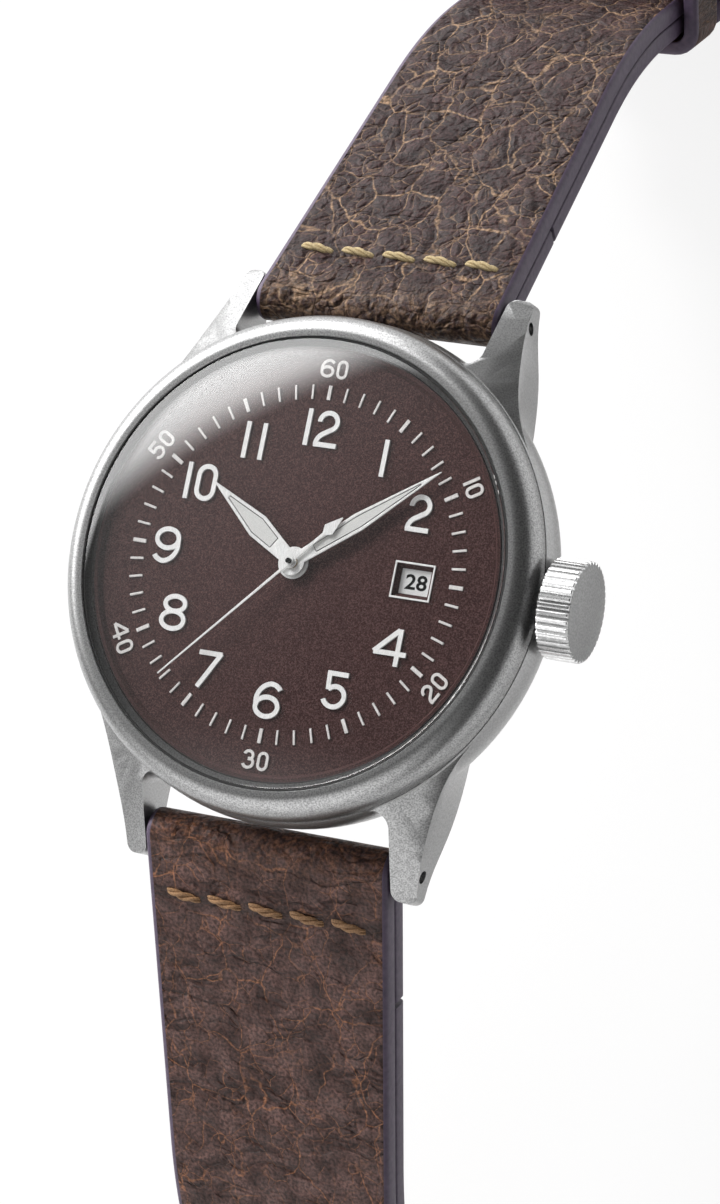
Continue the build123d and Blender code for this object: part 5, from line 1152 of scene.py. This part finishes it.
def keeper_band(node):
    """A closed band round a rounded rectangle that fits the CAD keeper's inside: each corner's points
    are its centre plus the corner's radius times the cosine and sine of the angle. Its flat map
    starts far from the spring bar's wear."""
    place = places_of(nodes[node].data) / MM
    along, outward = (
        np.array([0, *unit(math.radians(slope))]) for slope in (keeper_slope, keeper_slope + 90)
    )
    reach, height = place @ along, place @ outward
    middle = (reach.min() + reach.max()) / 2 * along + (height.min() + height.max()) / 2 * outward
    inner_half = np.array([place[:, 0].max(), np.ptp(height) / 2]) - keeper_wall - keeper_corner
    inside, outside = [], []
    for quarter_turn, signs in enumerate(((1, 1), (-1, 1), (-1, -1), (1, -1))):
        swept = np.linspace(0, np.pi / 2, 7) + quarter_turn * np.pi / 2
        for ring, radius in ((inside, keeper_corner), (outside, keeper_corner + keeper_wall)):
            ring.append(inner_half * signs + radius * unit(swept))
    inside, outside = np.vstack(inside), np.vstack(outside)
    face, back = (
        middle + ring[:, :1] * crosswise + ring[:, 1:] * outward for ring in (outside, inside)
    )
    step = np.linalg.norm(np.diff(inside, axis=0, prepend=inside[-1:]), axis=1)
    walked = keeper_map_start + np.cumsum(step)
    widths = np.full(len(inside), np.ptp(reach) / 2)
    return leather_band(node + "_band", face, back, widths, along, walked, keeper_rounding, True)


for keeper in ("fixed_keeper", "free_keeper"):
    show(keeper_band(keeper), [keeper_leather, edge_paint], keeper)

# %% [markdown]
# ## Buckle and bars
# The buckle is blasted like the case, and its edges are rounded for the hand. The bars are bright drawn
# steel. They could be turned from formulas, but the model's shapes are right, so copies of them with
# rounded edges are enough.

# %% Buckle and bars
bright_steel = satin_metal("bright_drawn_steel", "#cfcfce", "#b2b2b1", roughness=0.25, brushing=0.1)
dress("buckle_frame", buckle_steel, rounding=0.25, segments=3)
dress("buckle_tongue", buckle_steel, rounding=0.2, segments=3)
dress("buckle_bar", bright_steel, rounding=0.08)
dress("spring_bar_upper", bright_steel, rounding=0.06)
dress("spring_bar_lower", bright_steel, rounding=0.06)
coat(bright_steel, "crown_tube")

# %% [markdown]
# ## Inside the case
# A self-winding movement fills the case: a gilt plate, striped bridges, brass wheels, blued springs
# and red jewels. The closed case hides it, so its pieces keep the model's meshes and only get finer
# materials. The stripes could be cut as grooves, but they are only a polish. So they are a wave
# texture with the spacing of a real stripe.

# %% Movement
def striped_plate(name, light, dark, spacing=1.1):
    """Plated bridge with straight polished stripes. spacing is a stripe's width in mm."""
    material, tree, shader = start_material(name, Metallic=1.0)
    place = add_node(tree, "TexCoord", out="Object")
    stripe = add_node(tree, "TexWave", {
        "Vector": place, "Scale": math.pi / (10 * spacing * MM), "Distortion": 0.3,
    })
    tint = add_node(tree, "ValToRGB", {"Fac": stripe}, stops=[(0.2, dark), (0.8, light)])
    rough = add_node(tree, "MapRange", {"Value": stripe, "To Min": 0.22, "To Max": 0.4})
    drive(tree, shader, Base_Color=tint, Roughness=rough)
    return material


gilt_plate = satin_metal("gilt_brass_plate", "#cdb57c", "#b39a62", roughness=0.35, brushing=0.15)
wheel_brass = satin_metal("polished_wheel_brass", "#dcc078", "#c4a55c", 0.22)
pin_brass = satin_metal("brass_with_black_pin", "#dcc078", "#c4a55c", 0.22, dark_above=glass_foot)
movement_steel = satin_metal("polished_movement_steel", "#cfcfd1", "#b5b5b8", roughness=0.2)
blued_steel = satin_metal("blued_spring_steel", "#3f5f9d", "#2c4372", roughness=0.25)
bridge_plate = striped_plate("striped_nickel_bridge", "#d3d2cd", "#a9a8a3")
weight_metal = striped_plate("striped_weight_metal", "#b5a887", "#8f8366", spacing=1.4)
ring_plastic = grained_matt("moulded_ring_plastic", "#dcdad3", "#cfccc4", 0.2, 0.01, 0.55)
gasket_rubber = grained_matt("black_gasket_rubber", "#232323", "#181818", 0.15, 0.01, 0.7)
ruby = clear_glass("synthetic_ruby", "#c22a48", 1.76)
coat(gilt_plate, "mainplate")
coat(
    wheel_brass, "minute_wheel", "hour_wheel", "centre_wheel", "third_wheel", "mainspring_barrel",
    "balance_wheel",
)
coat(pin_brass, "fourth_wheel")
coat(
    movement_steel, "cannon_pinion", "escape_wheel", "ratchet_wheel", "pallet_fork", "movement_screws",
    "rotor_axle", "winding_stem", "clutch_wheel",
)
coat(bridge_plate, "train_bridge", "balance_cock", "rotor")
coat(weight_metal, "rotor_weight")
coat(blued_steel, "mainspring", "hairspring")
coat(ruby, "jewels")
coat(ring_plastic, "movement_ring")
coat(gasket_rubber, "crystal_gasket", "crown_gasket", "caseback_gasket")

# %% [markdown]
# ## Floor and light
# The watch stands on a plain white floor. The camera sees the floor and the world as white, and they
# light the watch at a plain level, so its colours come out as they were written. Steel and glass show
# what stands round them, and the photograph's show a dim studio: a broad soft panel at the upper left,
# a smaller one in front, a paler room behind, and little light from the right. Lamps could make these,
# but a lamp has hard edges, which a domed glass mirrors as a hard patch. So the panels are drawn in the
# world by direction, with smooth edges, and one small lamp in the middle of the big panel, which no
# reflection shows, draws the shadows. The big panel's near edge was worked out from the crescent on
# the glass: each place on a dome mirrors one direction, and the panel ends where the crescent does.

# %% Floor
floor_size = 3000.0
floor_drop = 0.02
floor_glow = 0.85

floor_mesh = new_mesh("floor", [
    (x * floor_size / 2, y * floor_size / 2, floor_level - floor_drop) for x, y in square
], [(0, 1, 2, 3)])
floor_paint = bpy.data.materials.new("white_floor_paint")
floor_paint.use_nodes = True
floor_tree = floor_paint.node_tree
floor_tree.nodes.clear()
seen = add_node(floor_tree, "LightPath", out="Is Camera Ray")
matt = add_node(floor_tree, "BsdfDiffuse", {"Color": colour("#f0f0f0")})
glow = add_node(floor_tree, "Emission", {"Color": colour("#ffffff"), "Strength": 1.0})
seen_share = add_node(floor_tree, "Math", {0: seen, 1: floor_glow}, operation="MULTIPLY")
floor_look = add_node(floor_tree, "MixShader", {0: seen_share, 1: matt, 2: glow})
add_node(floor_tree, "OutputMaterial", {"Surface": floor_look})
floor = bpy.data.objects.new("floor", floor_mesh)
floor_mesh.materials.append(floor_paint)
bpy.context.collection.objects.link(floor)
print("floor level, mm:", round(float(floor_level), 2))

# %% World
room_level = 0.09
key_level = 4.8
key_centre = (-0.5908, 0.5979, 0.5426)
key_near_edge = (-0.368, 0.752, -0.547)
key_long_way = (0.806, 0.464, 0.367)
front_level = 1.5
front_centre = (-0.25, -0.88, 0.4)
back_level = 0.25
back_centre = (-0.8, 0.57, 0.2)

world = bpy.data.worlds.new("studio")
bpy.context.scene.world = world
world.use_nodes = True
world_tree = world.node_tree
world_tree.nodes.clear()
way = add_node(world_tree, "TexCoord", out="Generated")


def towards(direction, start, full):
    """A smooth step from 0 to 1 as a ray's cosine to a direction goes from start to full."""
    cosine = add_node(
        world_tree, "VectorMath", {0: way, 1: direction}, out="Value", operation="DOT_PRODUCT"
    )
    return add_node(world_tree, "MapRange", {
        "Value": cosine, "From Min": start, "From Max": full,
    }, interpolation_type="SMOOTHSTEP")


# The big panel lies between a near and a far edge and two ends, in its own half of the sky
key_panel = towards(key_near_edge, 0.014, 0.093)
for edge in (
    towards(key_near_edge, 0.98, 0.7), towards(key_long_way, 0.56, 0.2),
    towards(key_long_way, -0.85, -0.55), towards(key_centre, 0.0, 0.1),
):
    key_panel = add_node(world_tree, "Math", {0: key_panel, 1: edge}, operation="MULTIPLY")
panels = [
    (key_level, key_panel),
    (front_level, towards(front_centre, 0.6, 0.95)),
    (back_level, towards(back_centre, 0.3, 0.95)),
]
level = weighted(world_tree, room_level, *panels)

# A ray from the camera, also one straight through the glass, meets plain white and not the room
path = add_node(world_tree, "LightPath").node
bounced = add_node(world_tree, "Math", {
    0: path.outputs["Diffuse Depth"], 1: path.outputs["Glossy Depth"],
}, operation="ADD")
direct = add_node(world_tree, "Math", {0: bounced, 1: 0.5}, operation="LESS_THAN")
through = add_node(world_tree, "Math", {
    0: path.outputs["Is Transmission Ray"], 1: direct,
}, operation="MULTIPLY")
straight = add_node(world_tree, "Math", {
    0: path.outputs["Is Camera Ray"], 1: through,
}, operation="MAXIMUM")
room = add_node(world_tree, "Background", {"Color": colour("#ffffff"), "Strength": level})
white = add_node(world_tree, "Background", {"Color": colour("#ffffff"), "Strength": 1.0})
backdrop = add_node(world_tree, "MixShader", {0: straight, 1: room, 2: white})
add_node(world_tree, "OutputWorld", {"Surface": backdrop})
print("panels in the world:", len(panels))

# %% Shadow lamp
lamp_distance = 520.0
lamp_side = 110.0
lamp_level = 0.4

lamp_light = bpy.data.lights.new("shadow_lamp", "AREA")
lamp_light.size = lamp_side * MM
lamp_light.energy = lamp_level * math.pi ** 2 * (lamp_distance * MM) ** 2 / key_centre[2]
lamp_holder = bpy.data.objects.new("shadow_lamp", lamp_light)
lamp_holder.location = Vector(key_centre) * lamp_distance * MM
lamp_holder.rotation_euler = Vector(key_centre).to_track_quat("Z", "Y").to_euler()
lamp_holder.visible_glossy = False
bpy.context.collection.objects.link(lamp_holder)
print("lamp, watts:", round(lamp_light.energy, 2))
